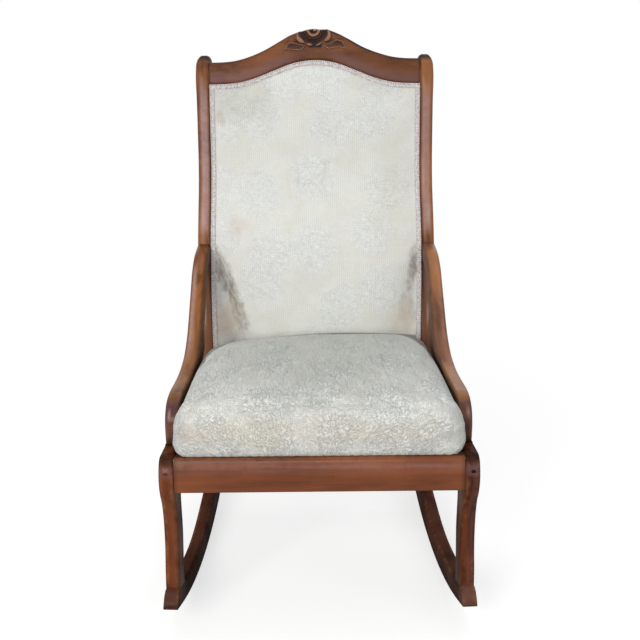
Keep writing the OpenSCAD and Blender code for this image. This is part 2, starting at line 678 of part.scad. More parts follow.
module front_seat_rail() {
    arc = [for (i = [0:6]) let (a = 90 + 15 * i)
        [front_rail_d + front_rail_r * (1 + cos(a)), rail_top - front_rail_r * (1 - sin(a))]];
    color(wood) at_rest() difference() {
        intersection() {
            translate([-front_w / 2, at_d(0), 0]) sawn(concat(
                [[front_rail_d + rail_t, rail_low], [front_rail_d + rail_t, rail_top]], arc,
                [[front_rail_d, rail_low]]), front_w);
            between_frames(0, knee_d, 0, rail_top + over);
        }
        seat_dowel_set(fit_gap);
        each_block_screw() screw_hole(block_screw_l, over);
    }
}
module rear_seat_rail() {
    color(dark_wood) at_rest() difference() {
        between_frames(rear_rail_d, rear_rail_d + rail_t, rail_low, rail_top);
        seat_dowel_set(fit_gap);
        each_block_screw() screw_hole(block_screw_l, over);
    }
}

module one_back_post() {
    difference() {
        left_frame() rotate([90, 0, 90]) linear_extrude(side_t) difference() {
            polygon(post_outline);
            polygon(rocker_outline);
            polygon(rocker_under);
        }
        seat_dowel_set(fit_gap);
        back_dowel_set(fit_gap);
        arm_dowel_set(fit_gap);
        leg_dowel_set(fit_gap);
        each_rocker_screw() screw_hole(foot_screw_l, screw_sink);
        each_block_screw() screw_hole(block_screw_l, over);
    }
}
module left_back_post() { color(wood) at_rest() one_back_post(); }
module right_back_post() { color(wood) at_rest() mirror([1, 0, 0]) one_back_post(); }

module one_arm() {
    difference() {
        left_frame() rotate([90, 0, 90]) linear_extrude(arm_t) difference() {
            polygon(arm_outline);
            polygon(post_outline);
        }
        arm_dowel_set(fit_gap);
    }
}
module left_arm() { color(wood) at_rest() one_arm(); }
module right_arm() { color(wood) at_rest() mirror([1, 0, 0]) one_arm(); }

// The rose and its two leaves stand proud of the crest rail
rose_rise = 5;
bud_r = rose_r * 0.42;
leaf_shares = [[0.35, -0.10], [0.75, -0.42], [1.25, -0.62], [1.75, -0.98], [2.22, -1.10], [1.95, -0.62],
               [1.70, -0.20], [1.20, 0.02], [0.80, 0.08]];
rose_y = crest_top - rose_r * 0.52;
module carving() {
    linear_extrude(rose_rise * 0.7) {
        for (side = [-1, 1])
            translate([0, rose_y - crest_base]) polygon([for (s = leaf_shares) [side * s.x * rose_r, s.y * rose_r]]);
    }
    translate([0, rose_y - crest_base, 0]) {
        cylinder(r = rose_r * 0.72, h = rose_rise);
        for (a = [200:35:340])
            translate([rose_r * 0.7 * cos(a), rose_r * 0.62 * sin(a), 0]) cylinder(r = rose_r * 0.3, h = rose_rise);
        difference() {
            cylinder(r = bud_r, h = rose_rise * 1.5);
            translate([0, 0, rose_rise]) cylinder(r = bud_r * 0.62, h = rose_rise);
        }
    }
}
module crest_rail() {
    front_d = back_d(crest_base) + crest_setback;
    color(wood) at_rest() difference() {
        intersection() {
            translate([0, at_d(front_d), crest_base]) rotate([90 - crest_lean, 0, 0]) {
                translate([0, 0, -crest_t]) linear_extrude(crest_t) polygon(crest_outline);
                intersection() {
                    carving();
                    linear_extrude(2 * rose_rise) polygon(crest_outline);
                }
            }
            between_frames(0, overall_d, crest_base / 2, crest_top + crest_end_h);
        }
        back_dowel_set(fit_gap);
    }
}

module lower_back_rail() {
    color(dark_wood) at_rest() difference() {
        intersection() {
            back_ribbon(low_rail_base, low_rail_top, strip_back, strip_deep);
            between_frames(0, overall_d, 0, crest_top);
        }
        back_dowel_set(fit_gap);
    }
}
module one_tacking_strip() {
    band = back_band(strip_low, strip_top, strip_back + strip_turn, strip_deep - strip_turn);
    left_frame() translate([side_t, 0, 0]) sawn([for (p = band) [frame_d(p.x), p.y]], strip_wide);
}
module left_tacking_strip() { color(plain_wood) at_rest() one_tacking_strip(); }
module right_tacking_strip() { color(plain_wood) at_rest() mirror([1, 0, 0]) one_tacking_strip(); }

module corner_blocks() {
    color(plain_wood) at_rest() difference() {
        for (rear = [false, true], side = [-1, 1]) {
            way = rear ? 1 : -1;
            d = block_corner(rear);
            far = d - way * block_leg;
            translate([0, at_d(0), block_top - block_h]) linear_extrude(block_h) polygon([
                [side * inner_x(d), d], [side * (inner_x(d) - block_leg), d], [side * inner_x(far), far]]);
        }
        each_block_screw() screw_hole(block_screw_l, block_leg);
    }
}
module corner_block_screws() { color(steel) at_rest() each_block_screw() wood_screw(block_screw_l); }
module seat_rail_dowels() { color(plain_wood) at_rest() seat_dowel_set(); }
module back_rail_dowels() { color(plain_wood) at_rest() back_dowel_set(); }
module arm_dowels() { color(plain_wood) at_rest() arm_dowel_set(); }
module leg_dowels() { color(plain_wood) at_rest() leg_dowel_set(); }
module rocker_screws() { color(steel) at_rest() each_rocker_screw() wood_screw(foot_screw_l); }
module knee_screws() {
    color(steel) at_rest() each_knee_screw() translate([0, 0, plug_l]) wood_screw(knee_screw_l);
}
module knee_plugs() { color(dark_wood) at_rest() each_knee_screw() cylinder(d = plug_d, h = plug_l - fit_gap); }

// The slip frame drops in between the rails and rests on the corner blocks
slip_w = 34;
slip_front = front_rail_d + rail_t + drop_in_gap;
slip_rear = rear_rail_d - drop_in_gap;
module slip_side() {
    intersection() {
        between_frames(slip_front + slip_w, slip_rear - slip_w, block_top, rail_top, drop_in_gap);
        translate([-front_w, at_d(0), 0]) cube([front_w, overall_d, rail_top]);
        difference() {
            between_frames(0, overall_d, 0, rail_top + over);
            between_frames(-over, overall_d + over, -over, rail_top + 2 * over, drop_in_gap + slip_w);
        }
    }
}
module seat_frame_front() {
    color(plain_wood) at_rest() between_frames(slip_front, slip_front + slip_w, block_top, rail_top, drop_in_gap);
}
module seat_frame_rear() {
    color(plain_wood) at_rest() between_frames(slip_rear - slip_w, slip_rear, block_top, rail_top, drop_in_gap);
}
module seat_frame_left() { color(plain_wood) at_rest() slip_side(); }
module seat_frame_right() { color(plain_wood) at_rest() mirror([1, 0, 0]) slip_side(); }

module seat_webbing_lengthwise() {
    color(jute) at_rest() for (k = web_places_x)
        translate([k * web_pitch_x - web_w / 2, at_d(slip_front), block_top - web_t])
            cube([web_w, slip_rear - slip_front, web_t]);
}
module seat_webbing_crosswise() {
    color(jute) at_rest() intersection() {
        for (k = web_places_d)
            translate([-front_w / 2, at_d(cushion_mid_d + k * web_pitch_d) - web_w / 2, block_top - 2 * web_t])
                cube([front_w, web_w, web_t]);
        between_frames(0, overall_d, 0, rail_top, drop_in_gap);
    }
}
module seat_springs() {
    color(steel) at_rest() for (i = web_places_x, k = web_places_d)
        translate([i * web_pitch_x, at_d(cushion_mid_d + k * web_pitch_d), block_top + soft_gap]) spring();
}
module seat_hessian() {
    color(hessian_brown) at_rest()
        dome_shell(tray_rings(0), tray_top(0), tray_rings(hessian_t), tray_top(hessian_t));
}
module seat_padding() {
    skin = cover_t + soft_gap;
    color(cotton) at_rest() dome_shell(pad_rings(skin, skin), pad_top(skin), tray_rings(-soft_gap), tray_top(-soft_gap));
}
module seat_cover() {
    color(ivory) at_rest() dome_shell(pad_rings(0, 0), pad_top(0), pad_rings(cover_t, cover_t), pad_top(cover_t));
}
dust_t = 1;
dust_in = 8;
module dust_cover() {
    low = rail_low - dust_t;
    color(black_cloth) at_rest() {
        between_frames(front_rail_d + dust_in, rear_rail_d + rail_t - dust_in, low, rail_low, arm_gap);
        between_frames(knee_d + dust_in, post_seat_d - dust_in, low, rail_low, dust_in - side_t);
    }
}
tack_head_d = 6;
tack_head_t = 0.8;
tack_n = 6;
module dust_cover_tacks() {
    first = knee_d + dust_in;
    last = post_seat_d - dust_in;
    z = rail_low - dust_t - tack_head_t;
    color(steel) {
        at_rest() both_frames() for (i = [1:tack_n - 2])
            translate([side_t / 2, first + (last - first) * i / (tack_n - 1), z])
                cylinder(d = tack_head_d, h = tack_head_t);
        at_rest() for (d = [front_rail_d + rail_t / 2 + tack_head_d / 2, rear_rail_d + rail_t / 2], i = [0:tack_n - 1])
            translate([inner_x(d) * 0.85 * (2 * i / (tack_n - 1) - 1), at_d(d), z])
                cylinder(d = tack_head_d, h = tack_head_t);
    }
}

module back_webbing_upright() {
    color(jute) at_rest() intersection() {
        inner_cloth(web_back, web_t);
        for (k = web_places_x)
            translate([k * web_pitch_x - web_w / 2, at_d(0), 0]) cube([web_w, overall_d, crest_top]);
    }
}
module back_webbing_crosswise() {
    rows = 4;
    color(jute) at_rest() intersection() {
        inner_cloth(web_back + web_t, web_t);
        for (i = [0:rows - 1])
            translate([-front_w / 2, at_d(0), low_rail_top + web_w + i * (crest_base - low_rail_top - 2 * web_w) / rows])
                cube([front_w, overall_d, web_w]);
    }
}
module back_hessian() { color(hessian_brown) at_rest() inner_cloth(hessian_back, hessian_t); }
module back_padding() {
    front = cover_back + cover_t + soft_gap;
    rear = cover_back + padding_t;
    color(cotton) at_rest() slab(back_sheet(front, rear, back_crown), back_sheet(rear, rear, 0));
}
module back_cover() {
    rear = cover_back + cover_t;
    color(ivory) at_rest() slab(back_sheet(cover_back, rear, back_crown), back_sheet(rear, rear, back_crown));
}
module back_gimp() { color(braid) at_rest() braid_frame(back_low, cover_back - gimp_t - curve_gap, -soft_gap); }
crest_lap = 12;
module outside_back_cover() { color(ivory) at_rest() back_cloth(outside_low, outside_back, outside_t, crest_lap); }
module outside_back_gimp() {
    color(braid) at_rest() braid_frame(outside_low, outside_back + outside_t + soft_gap, crest_lap);
}

left_rocker();
right_rocker();
left_front_leg();
right_front_leg();
left_side_rail();
right_side_rail();
front_seat_rail();
rear_seat_rail();
left_back_post();
right_back_post();
left_arm();
right_arm();
crest_rail();
lower_back_rail();
left_tacking_strip();
right_tacking_strip();
corner_blocks();
corner_block_screws();
seat_rail_dowels();
back_rail_dowels();
arm_dowels();
leg_dowels();
rocker_screws();
knee_screws();
knee_plugs();
seat_frame_front();
seat_frame_rear();
seat_frame_left();
seat_frame_right();
seat_webbing_lengthwise();
seat_webbing_crosswise();
seat_springs();
seat_hessian();
seat_padding();
seat_cover();
dust_cover();
dust_cover_tacks();
back_webbing_upright();
back_webbing_crosswise();
back_hessian();
back_padding();
back_cover();
back_gimp();
outside_back_cover();
outside_back_gimp();
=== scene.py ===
import math
import bpy
import numpy as np
from mathutils import Matrix


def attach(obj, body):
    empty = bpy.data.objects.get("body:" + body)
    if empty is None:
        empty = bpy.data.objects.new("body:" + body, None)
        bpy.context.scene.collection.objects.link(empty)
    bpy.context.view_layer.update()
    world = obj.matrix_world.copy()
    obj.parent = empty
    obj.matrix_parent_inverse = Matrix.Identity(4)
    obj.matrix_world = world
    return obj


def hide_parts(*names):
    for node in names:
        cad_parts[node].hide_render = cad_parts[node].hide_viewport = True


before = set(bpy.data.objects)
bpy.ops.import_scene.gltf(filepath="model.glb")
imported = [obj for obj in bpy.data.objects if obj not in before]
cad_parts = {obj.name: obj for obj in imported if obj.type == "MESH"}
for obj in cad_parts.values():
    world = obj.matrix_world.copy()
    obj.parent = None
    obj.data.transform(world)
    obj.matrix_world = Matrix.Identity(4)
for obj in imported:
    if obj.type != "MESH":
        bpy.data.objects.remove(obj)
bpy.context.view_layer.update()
print("frame loaded")

# Sizes that several pieces share, in millimetres, as in the part's own source
chair = dict(
    seatSlope=2.4,        # degrees that the whole chair leans back at rest
    splay=3.43,           # degrees that each side frame turns inward towards the rear
    halfWidth=280.0,      # middle of the chair to the outer face of a knee
    sideThick=27.0,
    rockerRadius=1130.0,
    rockStep=40.0,        # length of the flat steps under a rocker
    lowDepth=330.0,       # depth behind the knees at which a level rocker would touch the floor
    restMiddle=20.073,    # shift that puts the middle of the chair's box at zero
    railTop=329.0,
    railLow=265.0,
    kneeDepth=85.0,       # where a knee ends and its side rail begins
    restSize=(460.1, 274.0),  # length and height that a hip rest spans
    sink=0.4,             # how far a joint's face is let into its neighbour
)
slope = math.radians(chair["seatSlope"])
splay = math.radians(chair["splay"])
curveMid = chair["rockerRadius"] * math.cos(math.asin(chair["rockStep"] / 2 / chair["rockerRadius"]))
innerFront = chair["halfWidth"] - chair["sideThick"] / math.cos(splay)
sides = ((-1, "left"), (1, "right"))
quarter = math.pi / 2


def stacked(*parts):
    # numbers and arrays brought to one shape and stacked as coordinates
    return np.stack(np.broadcast_arrays(*parts), -1)


def settle(points):
    # across, depth and height of the level chair, turned back by the seat slope about the rockers' centre, in metres
    across, depth, height = np.moveaxis(np.asarray(points, float), -1, 0)
    depth, height = depth - chair["lowDepth"], height - curveMid
    return stacked(across, depth * math.cos(slope) + height * math.sin(slope) - chair["restMiddle"],
                   height * math.cos(slope) - depth * math.sin(slope) + curveMid) / 1000


def onSide(along, inward, height, side):
    # length along a side frame, distance inward from its outer face and height, as across, depth and height
    across = side * (chair["halfWidth"] - inward * math.cos(splay) - along * math.sin(splay))
    return stacked(across, along * math.cos(splay) - inward * math.sin(splay), height)


def innerAt(depth):
    # half the clear width between the side frames at a depth
    return innerFront - math.tan(splay) * depth


def acrossDepth(along):
    # depth of a side frame's inner face at a length along it
    return along * math.cos(splay) - chair["sideThick"] * math.sin(splay)


def smoothCurve(points, steps=4):
    # Catmull-Rom: each span is the cubic through its two points whose slopes come from their neighbours
    p = np.asarray(points, float)
    p = np.vstack([2 * p[0] - p[1], p, 2 * p[-1] - p[-2]])
    a, b, c, d = p[:-3], p[1:-2], p[2:-1], p[3:]
    t = (np.arange(steps) / steps)[:, None, None]
    spans = 0.5 * (2 * b + (c - a) * t + (2 * a - 5 * b + 4 * c - d) * t ** 2 + (3 * b - 3 * c + d - a) * t ** 3)
    return np.vstack([spans.transpose(1, 0, 2).reshape(-1, p.shape[1]), p[-2:-1]])


def outlined(look, key, steps=4):
    # a piece's outline, in shares of its size from its origin, as a smooth curve in millimetres
    return smoothCurve(np.asarray(look["origin"], float) + np.asarray(look[key], float) * look["size"], steps)


def lengthsOf(curve):
    # distance from the first point of a curve to each of its points
    return np.concatenate([[0], np.cumsum(np.linalg.norm(np.diff(curve, axis=0), axis=1))])


def alongCurve(curve, shares):
    # points at shares of a curve's length
    run = lengthsOf(curve)
    return stacked(*(np.interp(shares * run[-1], run, line) for line in curve.T))


def byHeight(curve, heights):
    # length along the frame of an outline at given heights
    order = np.argsort(curve[:, 1], kind="stable")
    return np.interp(heights, curve[order, 1], curve[order, 0])


def risen(low, high, x):
    # smoothstep: 0 below low, 1 above high, and 3t^2 - 2t^3 between
    t = np.clip((np.asarray(x, float) - low) / (high - low), 0, 1)
    return t * t * (3 - 2 * t)


def hump(value, middle, width):
    # a rounded ridge, 1 at its middle and 0 beyond its width: a raised cosine
    return 0.5 + 0.5 * np.cos(np.clip((value - middle) / width, -1, 1) * math.pi)


def wander(x, y, seed=0.0):
    # a gentle wave field between about -1 and 1: the mean of sines that run in different directions
    return (np.sin(x * 1.0 + 1.7 * np.sin(y * 0.63 + seed) + seed)
            + np.sin(y * 1.31 - 1.1 * np.sin(x * 0.47 - seed) + 2.1 * seed) + np.sin(0.71 * x + 0.83 * y + 3.3 * seed)) / 3


def ellipse(share):
    # fall of a quarter ellipse: 0 where the share is 0 and 1 where it is 1
    return 1 - np.sqrt(1 - np.clip(share, 0, 1) ** 2)


def gridFaces(rows, columns, closed=False):
    # one quad per cell of a grid of points, row by row; closed joins the last column to the first
    i, j = np.meshgrid(np.arange(rows - 1), np.arange(columns if closed else columns - 1), indexing="ij")
    k = (j + 1) % columns
    return stacked(i * columns + j, i * columns + k, (i + 1) * columns + k, (i + 1) * columns + j).reshape(-1, 4)


def turnedOut(points, faces):
    # faces of a closed skin, reversed if the volume they enclose, the sum of a.(b x c) over their triangles, is negative
    total = 0.0
    for group in faces:
        for k in range(1, group.shape[1] - 1):
            a, b, c = points[group[:, 0]], points[group[:, k]], points[group[:, k + 1]]
            total += float(np.sum(a * np.cross(b, c)))
    return faces if total > 0 else [group[:, ::-1] for group in faces]


def putMesh(name, points, faces, material, marks=None, cloth=None, sharp=None, closed=True):
    # points in metres and groups of faces of one size each, as a mesh object with a value per point for each mark
    points = np.ascontiguousarray(points, float).reshape(-1, 3)
    if closed:
        faces = turnedOut(points, faces)
    mesh = bpy.data.meshes.new(name)
    mesh.from_pydata(points, [], [face for group in faces for face in group.tolist()])
    for key, values in (marks or {}).items():
        mesh.attributes.new(key, "FLOAT", "POINT").data.foreach_set("value", np.ascontiguousarray(values, np.float32))
    if cloth is not None:
        corner = np.empty(len(mesh.loops), np.int64)
        mesh.loops.foreach_get("vertex_index", corner)
        place = np.ascontiguousarray(cloth.reshape(-1, 2)[corner], np.float32)
        mesh.uv_layers.new(name="cloth").data.foreach_set("uv", place.ravel())
    mesh.materials.append(material)
    mesh.polygons.foreach_set("use_smooth", np.ones(len(mesh.polygons), bool))
    if sharp is not None:
        mesh.set_sharp_from_angle(angle=math.radians(sharp))
    mesh.update()
    piece = bpy.data.objects.new(name, mesh)
    bpy.context.scene.collection.objects.link(piece)
    return piece


def claim(piece, nodes):
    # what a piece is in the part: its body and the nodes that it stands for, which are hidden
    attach(piece, "root")
    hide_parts(*nodes)
    return piece


def tubeFaces(stations, around):
    # faces of a tube of rings, each end closed by a fan on a middle point that comes after the rings
    j = np.arange(around)
    k = (j + 1) % around
    end = (stations - 1) * around
    fans = [stacked(stations * around, k, j), stacked(stations * around + 1, end + j, end + k)]
    return [gridFaces(stations, around, True), np.vstack(fans)]


def tubePoints(rings):
    # the rings' points with the middle of the first and of the last ring
    return np.vstack([rings.reshape(-1, 3), rings[0].mean(0), rings[-1].mean(0)])


def tubePiece(name, rings, material, nodes, slot="frame_wood", sharp=38, **marks):
    # a tube of rings in level millimetres; each mark has a value from 0 to 1 per point, and 0 at the middles of the ends
    marks = {key: np.append(np.clip(values, 0, 1) + np.zeros(rings.shape[:2]), [0, 0]) for key, values in marks.items()}
    piece = putMesh(name, tubePoints(settle(rings)), tubeFaces(*rings.shape[:2]), material, marks, sharp=sharp)
    return claim(piece, nodes)


def sectionLoop(length, low, high, front, rear, arc=7, flat=3):
    # a rectangle, length deep and from low to high across, whose corners are quarter ellipses: depth, across and
    # how much of a corner each point is, as arrays of stations by points
    length = length[:, None]
    stations = len(length)
    low, high = (np.broadcast_to(np.asarray(v, float), stations)[:, None] for v in (low, high))
    half, most = (high - low) / 2, length * 0.48
    fa, fb = np.minimum(front[0], most), np.minimum(front[1], half)
    ra, rb = np.minimum(rear[0], most), np.minimum(rear[1], half)
    turn = np.linspace(0, quarter, arc)[None]
    s, c, corner = 1 - np.sin(turn), 1 - np.cos(turn), np.sin(2 * turn)
    mid = (0.5 - 0.44 * np.cos(np.linspace(0, math.pi, flat)))[None]
    one = np.ones_like(mid)
    depth = [fa * s, 0 * mid * half, fa * c, fa + (length - fa - ra) * mid, length - ra * s, length * one,
             length - ra * c, length - ra - (length - fa - ra) * mid]
    across = [low + fb * c, low + fb + (high - low - 2 * fb) * mid, high - fb * s, high * one, high - rb * c,
              high - rb - (high - low - 2 * rb) * mid, low + rb * s, low * one]
    edge = [corner, 0 * mid] * 4
    return [np.hstack([np.broadcast_to(v, (stations, v.shape[1])) for v in rows]) for rows in (depth, across, edge)]


def sideMember(name, near, far, low, high, rounds, side, material, node, marks, foot=None):
    # a piece of a side frame: at each station a rounded section reaches from the near to the far edge of its outline
    span = far - near
    length = np.maximum(np.linalg.norm(span, axis=1), 0.05)
    depth, inward, edge = sectionLoop(length, low, high, *rounds)
    along, height = (near[:, None, k] + span[:, None, k] * (depth / length[:, None]) for k in (0, 1))
    if foot is not None:
        height[0] = foot(along[0])
    return tubePiece(name, onSide(along, inward, height, side), material, (node,), wear=edge,
                     **marks(along, height, inward, side < 0))


def tone(red, green, blue):
    # a screen colour from 0 to 255 as linear light
    shares = (v / 255 for v in (red, green, blue))
    return tuple(c / 12.92 if c <= 0.04045 else ((c + 0.055) / 1.055) ** 2.4 for c in shares) + (1.0,)


class Wire:
    # one output socket; arithmetic with wires and numbers adds Math nodes
    def __init__(self, bench, socket):
        self.bench, self.socket = bench, socket

    def __add__(self, other):
        return self.bench.math("ADD", self, other)

    def __radd__(self, other):
        return self.bench.math("ADD", other, self)

    def __sub__(self, other):
        return self.bench.math("SUBTRACT", self, other)

    def __rsub__(self, other):
        return self.bench.math("SUBTRACT", other, self)

    def __mul__(self, other):
        return self.bench.math("MULTIPLY", self, other)

    def __rmul__(self, other):
        return self.bench.math("MULTIPLY", other, self)


class Bench:
    # one new material and the nodes that are put into it, or the nodes of a tree that is there already
    def __init__(self, name, tree=None):
        if tree is None:
            self.material = bpy.data.materials.new(name)
            self.material.use_nodes = True
            tree = self.material.node_tree
        self.tree = tree
        self.tree.nodes.clear()

    def node(self, kind, settings=None, inputs=None, output=0):
        # any node: its settings first, then the values or links of its sockets
        made = self.tree.nodes.new(kind)
        for key, value in (settings or {}).items():
            setattr(made, key, value)
        for key, value in (inputs or {}).items():
            if isinstance(value, Wire):
                self.tree.links.new(value.socket, made.inputs[key])
            else:
                made.inputs[key].default_value = value
        return Wire(self, made.outputs[output]) if made.outputs else None

    def math(self, kind, *values):
        return self.node("ShaderNodeMath", dict(operation=kind), dict(enumerate(values)))

    def vector(self, kind, *values, output=0):
        return self.node("ShaderNodeVectorMath", dict(operation=kind), dict(enumerate(values)), output)

    def place(self):
        return self.node("ShaderNodeTexCoord", output="Object")

    def clothPlace(self):
        return self.node("ShaderNodeUVMap", dict(uv_map="cloth"))

    def mark(self, name):
        return self.node("ShaderNodeAttribute", dict(attribute_name=name), output="Fac")

    def apart(self, vector, count=2):
        # the first coordinates of a vector, each as a wire
        split = self.node("ShaderNodeSeparateXYZ", None, {0: vector}).socket.node
        return [Wire(self, split.outputs[k]) for k in range(count)]

    def seenPlainly(self):
        # 1 for what the camera, a reflection or a clear thing sees of the room, and 0 for the light that it gives
        path = self.node("ShaderNodeLightPath").socket.node
        rays = [Wire(self, path.outputs[f"Is {kind} Ray"]) for kind in ("Camera", "Glossy", "Transmission")]
        return self.math("MINIMUM", rays[0] + rays[1] + rays[2], 1.0)

    def turned(self, vector, rotation, scale):
        # turned first and stretched after, so that the stretch follows the turned axes
        spun = self.node("ShaderNodeMapping", None, {"Vector": vector, "Rotation": rotation})
        return self.vector("MULTIPLY", spun, scale)

    def noise(self, vector, scale, detail=2.0, roughness=0.5, distortion=0.0, output=0):
        inputs = {"Vector": vector, "Scale": scale, "Detail": detail, "Roughness": roughness, "Distortion": distortion}
        return self.node("ShaderNodeTexNoise", None, inputs, output)

    def risen(self, value, low, high, least=0.0, most=1.0):
        return self.node("ShaderNodeMapRange", dict(interpolation_type="SMOOTHSTEP"),
                         {"Value": value, "From Min": low, "From Max": high, "To Min": least, "To Max": most})

    def wave(self, value, pitch):
        # a sine along a value, one turn to a pitch
        return self.math("SINE", value * (2 * math.pi / pitch))

    def blend(self, factor, a, b, kind="MIX"):
        # two colours mixed; a colour is a wire, three numbers from 0 to 255 or linear light with its alpha
        a, b = (tone(*c) if isinstance(c, tuple) and len(c) == 3 else c for c in (a, b))
        return self.node("ShaderNodeMix", dict(data_type="RGBA", blend_type=kind), {0: factor, 6: a, 7: b}, 2)

    def spot(self, vector, middle, size, turn, ragged, grain):
        # 1 inside an ellipse and falling to 0 outside it, with an edge that noise makes ragged
        inputs = {"Vector": vector, "Location": (*middle, 0), "Rotation": (0, 0, math.radians(turn)), "Scale": (*size, 1)}
        local = self.node("ShaderNodeMapping", dict(vector_type="TEXTURE"), inputs)
        reach = self.vector("LENGTH", local, output="Value")
        return self.risen(reach + (self.noise(vector, grain, 3.0) - 0.5) * (2 * ragged), 1.15, 0.35)

    def stained(self, vector, colour, stains, smear=1.0):
        # one spot after another over a colour; a stain that is smeared is broken up by a second pattern as well
        for smeared, middle, size, turn, ragged, grain, strength, stain in stains:
            reach = self.spot(vector, middle, size, turn, ragged, grain) * strength
            colour = self.blend(reach * smear if smeared else reach, colour, stain)
        return colour

    def finish(self, colour, roughness, height, depth, strength, coat=None, **fixed):
        # the surface: what varies goes to colour, roughness, coat weight and bump, and the rest is set on the shader
        bump = self.node("ShaderNodeBump", None, {"Height": height, "Distance": depth, "Strength": strength})
        inputs = {"Base Color": colour, "Roughness": roughness, "Normal": bump}
        if coat is not None:
            inputs["Coat Weight"] = coat
        inputs.update({key.replace("_", " "): value for key, value in fixed.items()})
        shader = self.node("ShaderNodeBsdfPrincipled", None, inputs)
        self.node("ShaderNodeOutputMaterial", None, {"Surface": shader})
        return self.material


# The finish's tones: besides the grain's, a milky one for a painted sheen, dark on the hip rests' curled ends; a dark
# one for dirt and painted shade; a worn one for worn edges; and a rubbed one for rubbing and painted highlights
mahogany = dict(
    deep=(66, 32, 18), body=(124, 68, 40), warm=(152, 90, 52), worn=(178, 122, 82),
    haze=(136, 104, 104), shadeAndDirtTone=(30, 18, 13), rubbed=(184, 138, 106),
    figureScale=55.0,     # streaks across the grain, per metre
    stretch=0.07,         # how drawn out the figure is along the grain
    poreScale=420.0,
    roughness=0.30, shine=0.2, coat=0.08,
    turn=(0, 0, 0),       # brings the direction of the grain to z, along which the figure is stretched
)
# Each piece's copy of the finish; the copies differ partly as painted light: legs and rockers darker as painted shade
# nearer the floor, posts and arms lighter where the light falls, and the posts' rubbed tone a painted highlight
woodLooks = dict(
    upright=dict(deep=(50, 24, 13), body=(102, 54, 32), warm=(122, 66, 39), haze=(112, 86, 88), shine=0.0, coat=0.14),
    post=dict(turn=(math.radians(4), 0, 0), rubbed=(200, 174, 166), deep=(86, 50, 32), body=(130, 84, 56),
              warm=(156, 102, 64), haze=(178, 148, 147), shine=0.08, coat=0.06),
    arm=dict(turn=(math.atan2(*chair["restSize"]), 0, 0), deep=(86, 50, 28), body=(138, 87, 52), warm=(164, 109, 62),
             haze=(72, 50, 60), rubbed=(180, 150, 142), shadeAndDirtTone=(46, 31, 23), shine=0.06, coat=0.12),
    rocker=dict(turn=(quarter, 0, 0), deep=(44, 23, 17), body=(82, 45, 31), warm=(98, 56, 38), haze=(96, 66, 58),
                shine=0.0, coat=0.05),
    rail=dict(turn=(0, -quarter, 0), deep=(90, 47, 25), body=(117, 62, 34), warm=(138, 78, 42), haze=(176, 140, 136)),
    crest=dict(turn=(0, -quarter, 0), deep=(78, 42, 24), body=(106, 60, 34), warm=(138, 83, 46), haze=(120, 86, 84),
               shadeAndDirtTone=(40, 35, 38), rubbed=(166, 128, 106), shine=0.1, coat=0.03, figureScale=110.0, stretch=0.35),
    unpolished=dict(turn=(0, -quarter, 0), deep=(44, 26, 18), body=(84, 54, 38), warm=(104, 68, 46), roughness=0.6),
)


def makeMahogany(name, look):
    # aged stained mahogany: figure, ribbon and pores along the grain, then a painted sheen, wear, dirt with painted
    # shade, and rubbing with painted highlights where marks say so
    bench = Bench(name)
    where = bench.place()
    streak = bench.noise(bench.turned(where, look["turn"], (1, 1, look["stretch"])), look["figureScale"], 4.0, 0.55, 0.8)
    ribbon = bench.noise(bench.turned(where, look["turn"], (1, 1, 0.22)), 14.0, 2.0, 0.5, 0.4)
    pores = bench.noise(bench.turned(where, look["turn"], (1, 1, 0.03)), look["poreScale"], 3.0, 0.6)
    blotch = bench.noise(where, 9.0, 3.0, 0.55)
    scuff = bench.noise(where, 70.0, 4.0, 0.65)
    grime = bench.mark("grime")
    colour = bench.blend(bench.risen(streak, 0.30, 0.70), look["deep"], look["body"])
    layers = (
        (bench.risen(ribbon * 0.6 + blotch * 0.4, 0.40, 0.66, 0.0, 0.85), "warm"),
        (bench.risen(pores, 0.60, 0.78, 0.0, 0.55), "deep"),
        # painted sheen, wear, dirt and painted shade, then rubbing and painted highlights, each where its mark says
        (bench.mark("haze") * bench.risen(scuff, 0.2, 0.8, 0.55, 1.0), "haze"),
        (bench.mark("wear") * bench.risen(blotch * 0.5 + scuff * 0.5, 0.46, 0.64) * 0.35, "worn"),
        (grime * bench.risen(scuff, 0.1, 0.7, 0.7, 1.0), "shadeAndDirtTone"),
        (bench.mark("rubbed") * bench.risen(scuff, 0.2, 0.8, 0.5, 0.9), "rubbed"),
    )
    for share, key in layers:
        colour = bench.blend(share, colour, look[key])
    rough = bench.risen(scuff * 0.6 + pores * 0.4, 0.25, 0.8, look["roughness"] - 0.08, look["roughness"] + 0.16)
    coat = bench.risen(blotch, 0.3, 0.7, look["coat"] * 0.25, look["coat"])
    return bench.finish(colour, rough + grime * 0.3, scuff * 0.5 - pores * 0.35 + streak * 0.35, 0.0006, 0.5, coat,
                        Coat_Roughness=0.18, Specular_IOR_Level=look["shine"])


woods = {key: makeMahogany(f"mahogany_{key}", dict(mahogany, **look)) for key, look in woodLooks.items()}
print("woods mixed")


def makePlainWood():
    # bare hardwood for the parts that nobody sees: pale, straight grained, sawn rather than polished
    bench = Bench("plain_hardwood")
    where = bench.place()
    streak = bench.noise(bench.turned(where, (0, 0, 0), (0.1, 1, 1)), 130.0, 4.0, 0.6, 0.3)
    saw = bench.noise(bench.turned(where, (0, 0, 0), (1, 0.2, 1)), 520.0)
    colour = bench.blend(bench.risen(streak, 0.3, 0.7), (176, 138, 96), (208, 176, 132))
    colour = bench.blend(bench.noise(where, 26.0, 3.0) * 0.35, colour, (150, 112, 74))
    return bench.finish(colour, bench.risen(saw, 0.2, 0.8, 0.6, 0.85), saw * 0.6 + streak * 0.4, 0.0005, 0.7)


